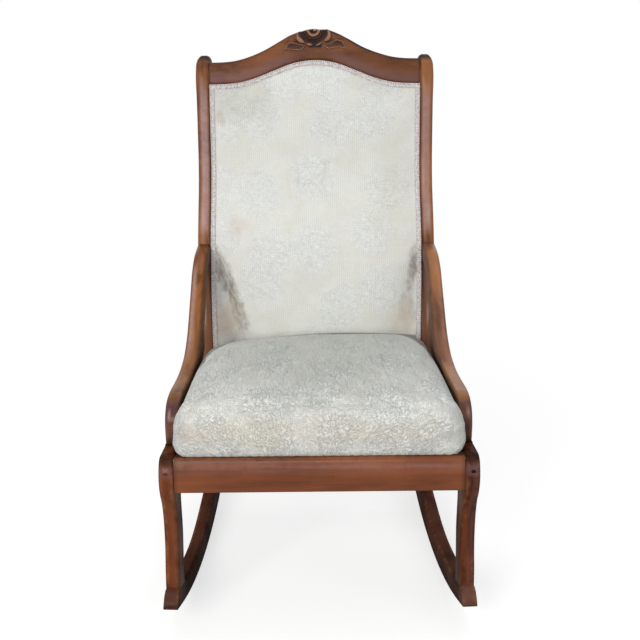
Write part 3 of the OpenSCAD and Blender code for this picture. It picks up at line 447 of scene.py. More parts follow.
def makeSteel():
    # plain steel wire and screws, dulled, with brown spots of old rust
    bench = Bench("dull_steel")
    where = bench.place()
    rust = bench.risen(bench.noise(where, 190.0, 4.0, 0.65), 0.56, 0.70)
    colour = bench.blend(rust, (150, 148, 144), (104, 66, 44))
    rough = bench.risen(bench.noise(where, 420.0), 0.2, 0.8, 0.30, 0.48) + rust * 0.25
    return bench.finish(colour, rough, bench.noise(where, 520.0, 3.0), 0.0003, 0.6, Metallic=0.9)


def makeWoven(name, warp, weft, dark, pitch, depth):
    # plain weave: threads of two directions pass over and under each other, as sines of x and of z + y at one pitch
    bench = Bench(name)
    where = bench.place()
    x, y, z = bench.apart(where, 3)
    uneven = (bench.noise(where, 40.0, 3.0) - 0.5) * (1.2 * pitch)
    across, upward = bench.wave(x + uneven, pitch), bench.wave(z + y + uneven, pitch)
    over = across * upward
    gap = bench.risen(bench.math("ABSOLUTE", across) + bench.math("ABSOLUTE", upward), 0.15, 0.9)
    colour = bench.blend(gap, dark, bench.blend(bench.risen(over, -0.8, 0.8), warp, weft))
    colour = bench.blend(bench.noise(where, 18.0, 3.0) * 0.4, colour, dark)
    return bench.finish(colour, 0.9, over * 0.5 + gap, depth, 0.8)


def makeWadding():
    # cotton wadding: soft tufts of one drawn-out noise
    bench = Bench("cotton_wadding")
    tuft = bench.noise(bench.place(), 60.0, 6.0, 0.7, 1.5)
    return bench.finish(bench.blend(bench.risen(tuft, 0.3, 0.7), (214, 205, 186), (240, 235, 222)), 0.95, tuft, 0.003, 0.8)


plainWood, steel, wadding = makePlainWood(), makeSteel(), makeWadding()
jute = makeWoven("jute_webbing", (158, 122, 76), (182, 148, 98), (92, 68, 42), 0.0036, 0.0012)
hessian = makeWoven("hessian_cloth", (150, 120, 80), (174, 142, 98), (84, 62, 40), 0.0022, 0.0008)
cambric = makeWoven("black_cambric", (34, 33, 32), (48, 46, 45), (14, 14, 14), 0.0012, 0.0003)

# The damask cover: pale roses of crowded petals on a warmer ribbed ground, tone on tone
damask = dict(
    ground=(221, 221, 213), light=(235, 237, 235), shade=(182, 184, 177),
    flower=8.6,           # roses per metre
    petal=9.5,            # rings of petals across the space between two roses
    ridge=150.0,          # puckers per metre
    drawn=1.0,            # share of that number left along the depth of the flat top
    rib=0.0042,           # pitch of the ground's ribs, m
    pucker=0.35,          # how puckered the cover is, from 0 to 1
    level=1.0,            # brightness of the whole
)


def makeDamask(name, soil, look):
    # roses are Voronoi cells with broken rings for petals, ribs are sines, and puckers are the middle lines of a noise,
    # each a line of painted shade between two shoulders of painted highlight
    bench, pucker = Bench(name), look["pucker"]
    uv = bench.clothPlace()
    drift = bench.vector("MULTIPLY_ADD", bench.noise(uv, 34.0, output="Color"), (0.012, 0.012, 0), uv)
    cell = bench.node("ShaderNodeTexVoronoi", dict(voronoi_dimensions="2D", feature="F1"),
                      {"Vector": drift, "Scale": look["flower"], "Randomness": 0.55}, "Distance")
    head = bench.risen(cell + (bench.noise(uv, 55.0) - 0.5) * 0.30, 0.47, 0.33)
    u, v = bench.apart(drift)
    drawn = v * look["drawn"] + bench.math("MINIMUM", v + 0.2, 0.0) * (1 - look["drawn"])
    worm = bench.noise(bench.node("ShaderNodeCombineXYZ", None, {0: u, 1: drawn}), look["ridge"], 2.0, 0.5, 2.2)
    lobes = bench.noise(drift, 42.0, 2.0, 0.5, 1.2)
    ring = bench.math("ABSOLUTE", bench.math("FRACT", cell * look["petal"] + lobes * 3.0) - 0.5)
    outline = bench.risen(ring, 0.36, 0.49) * bench.risen(bench.noise(uv, 90.0), 0.38, 0.55)
    away = bench.math("ABSOLUTE", worm - 0.5)
    groove = bench.risen(away, 0.042, 0.006)
    ridge = bench.risen(away, 0.035, 0.07) * bench.risen(away, 0.20, 0.10)
    u, v = bench.apart(uv)
    weft = bench.risen(bench.noise(uv, 30.0), 0.50, 0.56)
    upright, crosswise = (bench.wave(t, look["rib"]) * 0.5 + 0.5 for t in (u, v))
    ribs = upright * (1 - weft) + crosswise * weft
    mottle = bench.noise(uv, 16.0, 4.0, 0.6)
    fine = bench.noise(uv, 330.0, 3.0, 0.6)
    spread = (head * (0.8 - 0.35 * pucker) + (0.2 + 0.35 * pucker)) * (1 - bench.risen(v, -0.17, 0.10) * 0.35 * pucker)
    colour = look["ground"]
    layers = (
        (bench.risen(mottle, 0.35, 0.65) * 0.45, "light"),
        (head * bench.risen(lobes, 0.32, 0.55, 0.35, 0.95) * (1 - 0.4 * pucker), "light"),
        (ribs * (0.22 - 0.06 * pucker), "shade"),
        (bench.risen(fine, 0.35, 0.75, 0.0, 0.22), "shade"),
        (head * outline * (0.14 - 0.06 * pucker), "shade"),
        # painted highlight on the puckers' shoulders and painted shade in their lines
        (spread * ridge * (0.12 + 0.38 * pucker), "light"),
        (spread * groove * (0.03 + 0.62 * pucker ** 2), "shade"),
    )
    for share, key in layers:
        colour = bench.blend(share, colour, look[key])
    colour = bench.blend(1.0, soil(bench, uv, colour), (look["level"],) * 3 + (1,), "MULTIPLY")
    height = (spread * (ridge * 0.6 - groove * 0.6) * pucker + head * (1 - outline) * (0.25 - 0.2 * pucker)
              + ribs * 0.10 + fine * 0.10)
    return bench.finish(colour, bench.risen(mottle, 0.2, 0.8, 0.72, 0.9), height, 0.0011, 0.8,
                        Sheen_Weight=0.2, Sheen_Roughness=0.5, Specular_IOR_Level=0.2)


# Stains, and a band of painted shade on the back: whether smeared, middle and size in metres, turn in degrees,
# raggedness and grain of the edge, strength, colour
grey, tea, rust, olive = (120, 110, 99), (198, 176, 146), (196, 160, 126), (176, 176, 162)
backSpotsAndShadow = (
    (False, (-0.150, 0.900), (0.085, 0.060), 0, 0.5, 24, 0.34, olive),
    (False, (0.120, 0.925), (0.070, 0.026), -12, 0.5, 24, 0.22, olive),
    (False, (0.165, 0.700), (0.055, 0.150), 0, 0.5, 20, 0.30, (206, 204, 188)),
    (False, (-0.196, 0.858), (0.011, 0.022), 20, 0.6, 60, 0.26, rust),
    (False, (-0.166, 0.640), (0.022, 0.026), 0, 0.6, 40, 0.20, rust),
    (False, (-0.188, 0.440), (0.034, 0.060), -12, 0.6, 44, 0.50, tea),
    (True, (-0.194, 0.540), (0.021, 0.074), 24, 0.55, 70, 0.80, grey),
    (True, (-0.162, 0.460), (0.017, 0.062), 16, 0.7, 70, 0.60, grey),
    (True, (0.203, 0.555), (0.014, 0.056), -6, 0.55, 60, 0.75, grey),
    (True, (0.192, 0.470), (0.020, 0.060), 0, 0.7, 60, 0.30, grey),
    (False, (0.184, 0.445), (0.034, 0.050), 0, 0.6, 44, 0.34, tea),
    # painted shade along the foot of the back, just over the seat
    (False, (0.0, 0.385), (0.26, 0.035), 0, 0.5, 30, 0.30, olive),
)
seatTop = ((False, (0.02, 0.05), (0.31, 0.31), 0, 0.4, 9, 0.50, (170, 174, 165)),)
beige = (212, 202, 180)
seatStains = (
    (False, (-0.140, -0.295), (0.110, 0.050), 0, 0.5, 26, 0.42, beige),
    (False, (-0.265, -0.300), (0.045, 0.030), 0, 0.6, 40, 0.50, (206, 190, 176)),
    (False, (0.020, -0.290), (0.090, 0.045), 0, 0.5, 30, 0.30, beige),
    (False, (0.150, -0.300), (0.130, 0.036), 0, 0.5, 26, 0.34, beige),
    (False, (0.3358, 0.1116), (0.0036, 0.0036), 0, 0.3, 300, 0.75, (84, 80, 84)),
)


def backSoilAndShadow(bench, uv, colour):
    # grey smudges where the arms meet the back, tea brown at the lower corners, grey under the crest, painted shade
    # along the foot, and a line of painted shadow along a parabola just over the seat
    smear = bench.noise(bench.turned(uv, (0, 0, math.radians(-18)), (1, 0.35, 1)), 170.0, 4.0, 0.6)
    colour = bench.stained(uv, colour, backSpotsAndShadow, 0.50 + 0.50 * bench.risen(smear, 0.35, 0.65))
    u, v = bench.apart(uv)
    # the line of painted shadow where the back meets the seat
    seam = v + (u - 0.06) * (u - 0.06) * 0.40 - 0.4115
    return bench.blend(bench.risen(seam, 0.0035, 0.0005) * 0.65, colour, (104, 102, 88))


def seatSoilAndShadow(bench, uv, colour):
    # painted shadow along the rear side rims, greener grey over the top, beige and a little pink down the front, one
    # small dark spot on the right
    colour = bench.blend(bench.mark("grime") * 0.8, bench.stained(uv, colour, seatTop), (84, 78, 66))
    return bench.stained(uv, colour, seatStains)


def soilRear(bench, uv, colour):
    # a broad yellowing
    return bench.blend(bench.noise(uv, 9.0, 3.0) * 0.25, colour, (206, 196, 176))


backDamask = makeDamask("ivory_damask_back", backSoilAndShadow, damask)
seatDamask = makeDamask("ivory_damask_seat", seatSoilAndShadow,
                        dict(damask, pucker=1.0, shade=(158, 161, 153), ridge=92.0, drawn=0.4, level=0.965))
rearDamask = makeDamask("ivory_damask_rear", soilRear, damask)


def makeBraid():
    # gimp: a beaded cord along the outer edge and a line of stitches near the inner one, along u, with v from 0 to 1 across
    bench = Bench("gimp_braid")
    u, v = bench.apart(bench.clothPlace())
    loops = bench.risen(bench.wave(u, 0.0044), -0.5, 0.5)
    bead = bench.risen(bench.math("ABSOLUTE", v - 0.16), 0.17, 0.05)
    stitch = bench.risen(bench.math("ABSOLUTE", v - 0.88), 0.10, 0.03) * bench.risen(bench.wave(u, 0.0048), -0.3, 0.5)
    where = bench.place()
    fuzz = bench.noise(where, 700.0)
    colour = bench.blend(bench.risen(fuzz, 0.3, 0.7), (197, 189, 187), (216, 209, 207))
    layers = (
        (bead, (150, 140, 138)),
        (bead * loops, (236, 233, 232)),
        (stitch * 0.6, (130, 124, 120)),
        (bench.risen(bench.noise(where, 330.0), 0.49, 0.58) * 0.55, (140, 130, 130)),
        (bench.risen(bench.noise(where, 410.0), 0.53, 0.62) * 0.55, (236, 230, 232)),
    )
    for share, thread in layers:
        colour = bench.blend(share, colour, thread)
    height = bead * (0.6 + loops * 0.4) - stitch * 0.3 + fuzz * 0.2
    return bench.finish(colour, 0.8, height, 0.0010, 0.8, Sheen_Weight=0.2)


braid = makeBraid()
print("cloths woven")

# Rockers: the floor curve is the row of flat steps of the source, and the top follows shares of the rocker's height
rocker = dict(
    toe=4.0, tail=784.0, height=39.0, thin=0.4,
    topShares=[0.90, 0.93, 0.97, 1.00, 1.00, 1.10, 1.26, 1.33, 1.24, 1.06, 0.92],
    toeLength=28.0, toeShares=[[0, 0.26], [0.03, 0.38], [0.10, 0.52], [0.21, 0.65], [0.35, 0.76], [0.62, 0.91], [1, 1]],
    tailLength=14.0, tailShares=[[1, 0.35], [1, 0.55], [0.94, 0.82], [0.72, 0.98], [0, 1]],
    toeLow=0.24,                          # how high the blunt end of the toe starts, as a share of its height
    tailLow=[[0.8, 0.20], [0.0, 0.45]],   # the tail's lower corner: distance from its end, and share of its height
    rounds=((6.0, 7.0), (2.0, 2.0)),
)


def leanAt(along):
    # angle of the rocker's true arc at a length along the frame
    return np.arcsin((np.asarray(along, float) - chair["lowDepth"]) / chair["rockerRadius"])


def floorCurve(along):
    # height of the rocker's true arc, R (cos(step / 2) - cos(angle)), at a length along the frame
    return curveMid - chair["rockerRadius"] * np.cos(leanAt(along))


def stepCorners():
    # the corners of the flat steps, one step apart in angle, as the source places them
    step = 2 * math.asin(chair["rockStep"] / 2 / chair["rockerRadius"])
    first = math.ceil((leanAt(rocker["toe"] + rocker["toeLength"] / 3) - slope) / step - 0.5)
    last = math.floor((leanAt(rocker["tail"] - rocker["tailLength"]) - slope) / step - 0.5)
    at = slope + (np.arange(first, last + 1) + 0.5) * step
    return stacked(chair["lowDepth"] + chair["rockerRadius"] * np.sin(at), curveMid - chair["rockerRadius"] * np.cos(at))


def rockerTop(along):
    # height of a rocker's upper edge: its floor curve and a share of its height
    share = (np.asarray(along, float) - rocker["toe"]) / (rocker["tail"] - rocker["toe"])
    shares = smoothCurve(stacked(np.linspace(0, 1, len(rocker["topShares"])), rocker["topShares"]))
    return floorCurve(along) + rocker["height"] * np.interp(share, *shares.T)


def onRocker(along):
    # height of the foot of a leg or post, let into its rocker
    return rockerTop(along) - chair["sink"]


def rockerEdges():
    # upper and lower edge of a rocker at the same lengths, meeting at the toe and rounded at the tail
    steps, toe, tail, thin = stepCorners(), rocker["toe"], rocker["tail"], rocker["thin"]
    toeTop, tailTop = toe + rocker["toeLength"], tail - rocker["tailLength"]
    along = np.concatenate([toe + rocker["toeLength"] * (1 - np.cos(np.linspace(0, quarter, 14)))[1:-1],
                            np.linspace(toeTop, tailTop, 110),
                            tailTop + rocker["tailLength"] * np.sin(np.linspace(0, quarter, 10))[1:]])
    along[0] = toe + thin
    toeShare, tailShare = smoothCurve(rocker["toeShares"]), np.array(rocker["tailShares"])[::-1]
    lowToe, lowTail = steps[0, 1], floorCurve(tailTop)
    toeHigh, tailHigh = rockerTop(toeTop) - lowToe, rockerTop(tailTop) - lowTail
    top = rockerTop(along)
    front, rear = along < toeTop, along > tailTop
    top[front] = lowToe + toeHigh * np.interp((along[front] - toe) / rocker["toeLength"], *toeShare.T)
    top[rear] = lowTail + tailHigh * np.interp((along[rear] - tailTop) / rocker["tailLength"], *tailShare.T)
    ends = [[tail - inset, lowTail + share * tailHigh] for inset, share in rocker["tailLow"]]
    under = np.vstack([[toe, lowToe + rocker["toeLow"] * toeHigh], steps, *ends])
    return stacked(along, top), stacked(along, np.minimum(np.interp(along, *under.T), top - thin))


def rockerMarks(u, h, w, left):
    # darker near the floor and at the left toe; painted shade under the seat and down the inner face, most on the left;
    # a painted milky sheen on the toes and a little painted highlight on the right one
    return dict(
        grime=0.5 * risen(14, 2, h - floorCurve(u)) + 0.35 * risen(70, 120, u) * risen(160, 110, u)
        + (0.65 if left else 0.15) * risen(19, 24, w) * risen(30, 70, u) + (0.22 if left else 0) * risen(40, 20, u),
        haze=0.8 * risen(60, 20, u), rubbed=(0 if left else 0.14) * risen(60, 20, u))


topEdge, lowEdge = rockerEdges()
for side, name in sides:
    sideMember(f"{name}RockerWood", topEdge, lowEdge, 0, chair["sideThick"], rocker["rounds"], side, woods["rocker"],
               f"{name}_rocker", rockerMarks)
print("rockers shaped")

# Front legs: a knee at the seat rail and a scrolled leg down to the rocker, outlined in shares of their box
frontLeg = dict(
    origin=(0, 0), size=(chair["kneeDepth"], chair["railTop"]), outer=0.3, inner=26.7,
    front=[[0.365, 0.10], [0.365, 0.18], [0.375, 0.31], [0.435, 0.43], [0.43, 0.55], [0.365, 0.65], [0.25, 0.732],
           [0.13, 0.778], [0.03, 0.836], [0, 0.898], [0.05, 0.952], [0.15, 0.984], [0.36, 1]],
    rear=[[1.01, 0.10], [1.01, 0.16], [1, 0.26], [1.01, 0.34], [1.045, 0.46], [1.04, 0.53], [0.985, 0.625], [0.95, 0.69],
          [0.955, 0.745], [1, 0.806], [1, 0.90], [1, 1]],
    rounds=((8.5, 9.5), (3.0, 3.0)), topRound=(3.0, 4.0),
    foot=38, crown=300,   # heights of the first station and of the one from which they crowd together
    flush=268,            # height from which the knee's rear meets the side rail
)


def stationsUp(low, crowded, top, count, more):
    # heights of a member's stations: even at first, and closer and closer towards the top along a sine
    above = crowded + (top - crowded) * np.sin(np.linspace(0, quarter, more))[1:]
    return np.concatenate([np.linspace(low, crowded, count), above])


def legMarks(u, h, w, left):
    # darker at the foot; painted shade at the top of the knee, in the corner behind it and down the inner face; a
    # painted highlight across the knee and a painted sheen down the outer part of the right leg
    return dict(
        grime=0.55 * risen(62, 44, h) + 0.75 * risen(308, 324, h) + 0.5 * risen(82, 88, u) * risen(280, 330, h)
        + (0.45 if left else 0.2) * risen(17, 23, w) * risen(262, 235, h),
        haze=0.45 * risen(292, 300, h) * risen(326, 312, h) + (0 if left else 0.22) * risen(45, 70, h) * risen(17, 12, w))


legFront, legRear = outlined(frontLeg, "front"), outlined(frontLeg, "rear")
heights = stationsUp(frontLeg["foot"], frontLeg["crown"], chair["railTop"], 120, 26)
near = stacked(byHeight(legFront, heights), heights)
far = stacked(np.where(heights > frontLeg["flush"], chair["kneeDepth"], byHeight(legRear, heights)), heights)
topInset = frontLeg["topRound"][0] * ellipse((heights - chair["railTop"]) / frontLeg["topRound"][1] + 1)
for side, name in sides:
    sideMember(f"{name}KneeAndLeg", near, far, frontLeg["outer"] + topInset, frontLeg["inner"] - topInset,
               frontLeg["rounds"], side, woods["upright"], f"{name}_front_leg", legMarks, onRocker)
print("front legs shaped")

# Back posts: one piece with the rear legs, a flat D in section, with domed tips
post = dict(
    origin=(536.97, 0.0), size=(110.0, 990.0),
    front=[[0.42, 0.05], [0.38, 0.08], [0.227, 0.152], [0.11, 0.217], [0.073, 0.265], [0.073, 0.338], [0.036, 0.384],
           [0.009, 0.434], [0, 0.485], [0.027, 0.566], [0.10, 0.62], [0.236, 0.67], [0.382, 0.718], [0.465, 0.768],
           [0.483, 0.819], [0.483, 0.87], [0.487, 0.919], [0.527, 0.957], [0.618, 0.977]],
    tip=[[0.618, 0.977], [0.727, 0.9875], [0.845, 0.994], [0.95, 0.9925], [1, 0.983], [0.97, 0.973]],
    rear=[[0.80, 0.05], [0.77, 0.08], [0.645, 0.141], [0.555, 0.202], [0.49, 0.265], [0.49, 0.338], [0.418, 0.404],
          [0.355, 0.465], [0.355, 0.525], [0.418, 0.596], [0.50, 0.645], [0.645, 0.694], [0.782, 0.742], [0.836, 0.793],
          [0.845, 0.859], [0.855, 0.919], [0.90, 0.955], [0.97, 0.973]],
    rounds=((7.5, 13.0), (3.0, 4.0)), tipRound=(11.0, 19.0),
    flare=1.3,            # how much wider to each side the top is than the rest
    foot=100, crown=952,
)


def postMarks(u, h, w, left):
    # darker at the foot and on the tip; painted shade along the cover and over the hip rest; a painted milky sheen down
    # the front, most between rest and tip, and painted highlight streaks
    return dict(
        grime=0.55 * risen(135, 108, h) + 0.5 * risen(20, 27, w) * risen(460, 520, h) + 0.95 * risen(970, 982, h)
        + 0.35 * risen(605, 590, h) * risen(550, 575, h) + 0.35 * risen(590, 560, h) * risen(300, 340, h),
        haze=(0.80 if left else 0.6) * risen(4, 10, w) * risen(26, 20, w) * risen(612, 650, h) * risen(945, 880, h)
        + 0.15 * risen(590, 550, h) * risen(330, 360, h),
        rubbed=0.35 * hump(h, 660, 45) * hump(w, 11, 7) + 0.7 * hump(w, 13, 3) * hump(h, 455, 45))


postFront, postRear, postTip = outlined(post, "front"), outlined(post, "rear"), outlined(post, "tip", 10)
apex = int(np.argmax(postTip[:, 1]))
peak = postTip[apex, 1]
heights = stationsUp(post["foot"], post["crown"], peak, 240, 30)
near = stacked(byHeight(np.vstack([postFront, postTip[1:apex + 1]]), heights), heights)
far = stacked(byHeight(np.vstack([postRear, postTip[:apex - 1:-1]]), heights), heights)
topInset = (post["tipRound"][0] * ellipse(1 + (heights - peak) / post["tipRound"][1])
            - post["flare"] * risen(885, 950, heights))
for side, name in sides:
    sideMember(f"{name}BackPost", near, far, topInset, chair["sideThick"] - topInset, post["rounds"], side, woods["post"],
               f"{name}_back_post", postMarks, onRocker)
print("back posts shaped")

# Hip rests: sawn from 25 mm stuff, flowing out of the posts and curling down to the side rails
arm = dict(
    origin=(84.9, chair["railTop"]), size=chair["restSize"], low=0.4, high=25.0,
    top=[[1.04, 1.01], [1, 1], [0.922, 0.974], [0.872, 0.945], [0.81, 0.876], [0.773, 0.80], [0.701, 0.646],
         [0.628, 0.496], [0.552, 0.394], [0.48, 0.339], [0.377, 0.303], [0.26, 0.293], [0.1515, 0.292], [0.093, 0.281],
         [0.054, 0.261], [0.02, 0.215], [0.003, 0.155], [0, 0.10], [0.004, 0.04], [0.009, 0]],
    under=[[1.04, 0.88], [0.995, 0.87], [0.944, 0.85], [0.903, 0.825], [0.866, 0.785], [0.833, 0.715], [0.762, 0.562],
           [0.682, 0.405], [0.589, 0.277], [0.504, 0.215], [0.383, 0.1715], [0.26, 0.16], [0.167, 0.158], [0.128, 0.148],
           [0.102, 0.117], [0.091, 0.06], [0.089, 0]],
    inward=3.5,           # how much thicker the rest is above the seat
    swell=4.5,            # and how much more where it passes the seat's rear corner
    rounds=((5.0, 7.0), (4.0, 5.0)), stations=170,
)


def armMarks(u, h, w, left):
    # painted shade along both faces and at the foot, and darker at the post; the curled ends painted dark with a
    # painted glint, and a painted sheen along the outer edge
    return dict(
        grime=0.20 * risen(3.5, 0.5, w) + 0.6 * risen(21, 25, w) + 0.35 * risen(25, 28, w) * risen(500, 450, h)
        + 0.75 * risen(345, 331, h) + 0.5 * risen(525, 545, u),
        haze=0.92 * risen(235, 200, u) * risen(406, 396, h),
        rubbed=(0.8 if left else 0.2) * hump(w, 7, 6) * risen(400, 450, h) * risen(585, 560, h)
        + (0 if left else 0.12) * risen(400, 420, h) + 0.75 * hump(w, 8, 4) * hump(h, 382, 13) * risen(125, 105, u))


near, far = (alongCurve(outlined(arm, key), np.linspace(0, 1, arm["stations"])) for key in ("top", "under"))
near[-1, 1] = far[-1, 1] = chair["railTop"] - chair["sink"]
rise = near[:, 1]
armHigh = (arm["high"] + arm["inward"] * risen(398, 425, rise) * (1 - 0.5 * risen(530, 590, rise))
           + arm["swell"] * hump(rise, 445, 45))
for side, name in sides:
    sideMember(f"{name}HipRest", near, far, arm["low"], armHigh, arm["rounds"], side, woods["arm"], f"{name}_arm", armMarks)
print("hip rests shaped")

rails = dict(
    frontNear=6.0, thick=25.0, endGap=0.05, lowGap=2.0,
    rearBehind=4.6,       # distance of the rear rail behind the front of the posts
    roundOver=(7.5, 19.0), frontEdge=1.6, edge=1.5, sideEdge=2.0,
)


def acrossMember(name, profile, material, node, slot="frame_wood", marks=None, stations=61):
    # a rail: one outline of depth and height carried across between the side frames, whose reach falls with depth, and
    # worn where its outline bends: the sine of the angle between two steps
    share = np.linspace(-1, 1, stations)[:, None]
    x, d, h = np.broadcast_arrays(share * (innerAt(profile[:, 0]) - rails["endGap"]), *profile.T)
    after, before = np.roll(profile, -1, 0) - profile, profile - np.roll(profile, 1, 0)
    bend = (np.abs(after[:, 0] * before[:, 1] - after[:, 1] * before[:, 0])
            / (np.linalg.norm(after, axis=1) * np.linalg.norm(before, axis=1)))
    return tubePiece(name, stacked(x, d, h), material, (node,), slot, wear=bend * 1.6, **(marks(x, d, h) if marks else {}))


def bar(front, rear, low, high, rounds, arc):
    # a rectangle of depth and height with a quarter ellipse at each corner: low front, high front, high rear, low rear
    turn = np.linspace(0, quarter, arc)
    s, c = 1 - np.sin(turn), 1 - np.cos(turn)
    (a, ah), (b, bh), (e, eh), (f, fh) = [np.broadcast_to(r, 2) for r in rounds]
    corners = [stacked(front + a * s, low + ah * c), stacked(front + b * c, high - bh * s),
               stacked(rear - e * s, high - eh * c), stacked(rear - f * c, low + fh * s)]
    share = np.array([0.05, 0.35, 0.65, 0.95])[:, None]
    flats = [corners[k][-1] + (corners[(k + 1) % 4][0] - corners[k][-1]) * share for k in range(4)]
    return np.vstack([part for pair in zip(corners, flats) for part in pair])


def frontRailMarks(x, d, h):
    # dark at both ends, darker along the lower edge, painted shade under the cover, and a painted highlight near the
    # top
    return dict(
        grime=0.6 * risen(248, 252.5, np.abs(x)) + 0.45 * risen(270, 265, h)
        + 0.8 * risen(327, 329, h) * risen(14, 20, d),
        haze=0.32 * hump(h, 313, 9) * (0.75 + 0.25 * wander(x / 30, h)))


def sideRailMarks(u, h, w, left):
    # darker at both ends and along the lower edge
    return dict(grime=0.6 * risen(96, 85, u) + 0.5 * risen(535, 545, u) + 0.3 * risen(275, 265, h))


edge = rails["edge"]
frontRail = bar(rails["frontNear"], rails["frontNear"] + rails["thick"], chair["railLow"] + rails["lowGap"],
                chair["railTop"], (rails["frontEdge"], rails["roundOver"], edge, edge), 9)
acrossMember("frontSeatRail", frontRail, woods["rail"], "front_seat_rail", marks=frontRailMarks)
rearNear = float(acrossDepth(byHeight(postFront, chair["railTop"]))) + rails["rearBehind"]
rearRail = bar(rearNear, rearNear + rails["thick"], chair["railLow"], chair["railTop"], (edge,) * 4, 5)
acrossMember("rearSeatRail", rearRail, woods["unpolished"], "rear_seat_rail", "dark_wood")
railEnd = byHeight(postFront, np.linspace(chair["railLow"], chair["railTop"], 3)).min()
along = np.linspace(chair["kneeDepth"] + 0.1, railEnd - rails["endGap"], 40)
near, far = stacked(along, chair["railTop"]), stacked(along, chair["railLow"])
for side, name in sides:
    sideMember(f"{name}SideRail", near, far, 0, chair["sideThick"], ((rails["sideEdge"],) * 2,) * 2, side,
               woods["rocker"], f"{name}_side_rail", sideRailMarks)
print("rails shaped")

# Crest rail: leans back 7 degrees, arched above and below, with a rose and two leaves carved at its middle
crest = dict(
    base=928.0, top=1041.0, thick=26.0, lean=7.0, setback=5.0, edge=5.0, backEdge=3.0,
    half=innerAt(post["origin"][0] + 66.0),
    topShares=[[0, 0], [0.14, 0.07], [0.30, 0.35], [0.49, 0.66], [0.68, 0.89], [0.83, 0.98], [1.05, 1]], drop=67.0,
    lowShares=[[0, 0], [0.195, 0.11], [0.39, 0.43], [0.585, 0.77], [0.78, 0.96], [1.05, 1]], lowDrop=48.0,
    lowMiddle=976.0,
    carved=76.0,          # half width of the part with fine stations
    stations=(330, 66), rows=150,
    flat=2.2,             # how much the top is worn down over the rose
    petals=[[27.0, 6.0, 0.9], [-29.0, 5.0, 0.5]],   # tips of petals above the edge: place, half width and height
    uneven=[[-170, -1.8], [-116, -1.9], [-75, 0], [-54, 0.6], [-40, -1.8], [-33, -2.0], [-26, -2.9], [-13, -0.8], [0, 0.3],
            [11, -1.0], [25, 0.2], [38, 0.8], [56, 3.3], [77, 3.4], [97, 2.4], [118, 2.7], [140, 3.6], [170, 4.2]],
    roseMiddle=(-2.1, -4.6),
    leafLeft=[[-18, -37.5], [-21, -33.5], [-30.5, -31.5], [-41, -29.5], [-50, -27.5], [-55, -30], [-58.5, -36],
              [-65.5, -48], [-55, -44.5], [-42, -46.5], [-30.5, -47], [-23, -43]],
    leafRight=[[19, -36], [23, -31.5], [32, -29.5], [40, -25.5], [46, -22.5], [56.5, -25.5], [61.5, -31], [65, -39],
               [66, -45], [52, -41], [40, -42], [29, -44], [20.5, -40]],
    twigs=[[[-50, -25.5], [-55, -22], [-63, -24], [-71, -29], [-58.5, -29.5]],
           [[43, -23], [46, -19.5], [54, -20], [62.5, -24], [57.5, -24.5]]],
    wings=[[[-32.5, -5, 0.8], [-34.4, -11, 1.9], [-34.6, -17, 3.0], [-32.3, -23, 5.2], [-27, -27.2, 5.0],
            [-21, -29.8, 1.5]],
           [[27.6, -3.5, 1.0], [29.4, -9, 2.9], [30.6, -15.5, 4.4], [28, -22, 4.6], [21, -26.8, 1.6]]],
    lowPetal=[[2.4, -36.2, 1.2], [8.9, -33.8, 3.0], [16, -29.3, 1.8]],
    slit=[[-3.0, 4.5, 0.9], [-2.4, 1.0, 1.7], [-1.4, -3.4, 1.5], [0.4, -5.6, 0.7]],
)
crestLean = math.radians(crest["lean"])


def evenCurve(shares, drop):
    # half an edge of the crest as x and fall, mirrored about the middle before it is smoothed so that it is level there
    right = np.asarray(shares, float) * [crest["half"], drop]
    return smoothCurve(np.vstack([right[:0:-1] * [-1, 1], right]), 6)


crestUpper, crestLower = evenCurve(crest["topShares"], crest["drop"]), evenCurve(crest["lowShares"], crest["lowDrop"])


def crestHigh(x):
    # the upper edge, worn a little flat over the rose, with the tips of its two outer petals just above it
    flat = crest["flat"] * hump(x, 0.0, 42.0) - sum(high * hump(x, middle, half) for middle, half, high in crest["petals"])
    uneven = np.interp(x, *smoothCurve(crest["uneven"]).T)
    return crest["top"] - crest["base"] - np.interp(x, *crestUpper.T) - flat + uneven


def crestLow(x):
    # the lower edge: a smooth arch from its middle out
    return crest["lowMiddle"] - crest["base"] - np.interp(x, *crestLower.T)


def backDepth(height):
    # depth of the posts' inner front edge at a height, straight on along the crest's lean above its foot
    straight = crest["base"] + 6.0
    below = acrossDepth(byHeight(postFront, np.minimum(height, straight)))
    return below + np.maximum(np.asarray(height, float) - straight, 0) * math.tan(crestLean)


def alongSide(x, y, ax, ay, bx, by):
    # share of the way from a to b of the point of their segment that is nearest to x, y, and the distance to it
    t = np.clip(((x - ax) * (bx - ax) + (y - ay) * (by - ay)) / ((bx - ax) ** 2 + (by - ay) ** 2), 0, 1)
    return t, np.hypot(x - ax - t * (bx - ax), y - ay - t * (by - ay))


def polygonDepth(x, y, corners):
    # distance to the nearest side of a closed outline, counted positive inside it
    corners = np.asarray(corners, float)
    nearest, crossings = np.full(x.shape, 1e9), np.zeros(x.shape, bool)
    for (ax, ay), (bx, by) in zip(corners, np.roll(corners, -1, 0)):
        nearest = np.minimum(nearest, alongSide(x, y, ax, ay, bx, by)[1])
        crossings ^= ((ay > y) != (by > y)) & (x < (bx - ax) * (y - ay) / (by - ay + 1e-12) + ax)
    return np.where(crossings, nearest, -nearest)


def strokeRelief(x, y, points):
    # a rounded ridge along a curve of points that each have a half width: the root of 1 less its share of the width squared
    curve = smoothCurve(points, 5)
    best = np.zeros(x.shape)
    for (ax, ay, aw), (bx, by, bw) in zip(curve[:-1], curve[1:]):
        t, away = alongSide(x, y, ax, ay, bx, by)
        best = np.maximum(best, 1 - (away / (aw + (bw - aw) * t)) ** 2)
    return np.sqrt(np.clip(best, 0, 1))


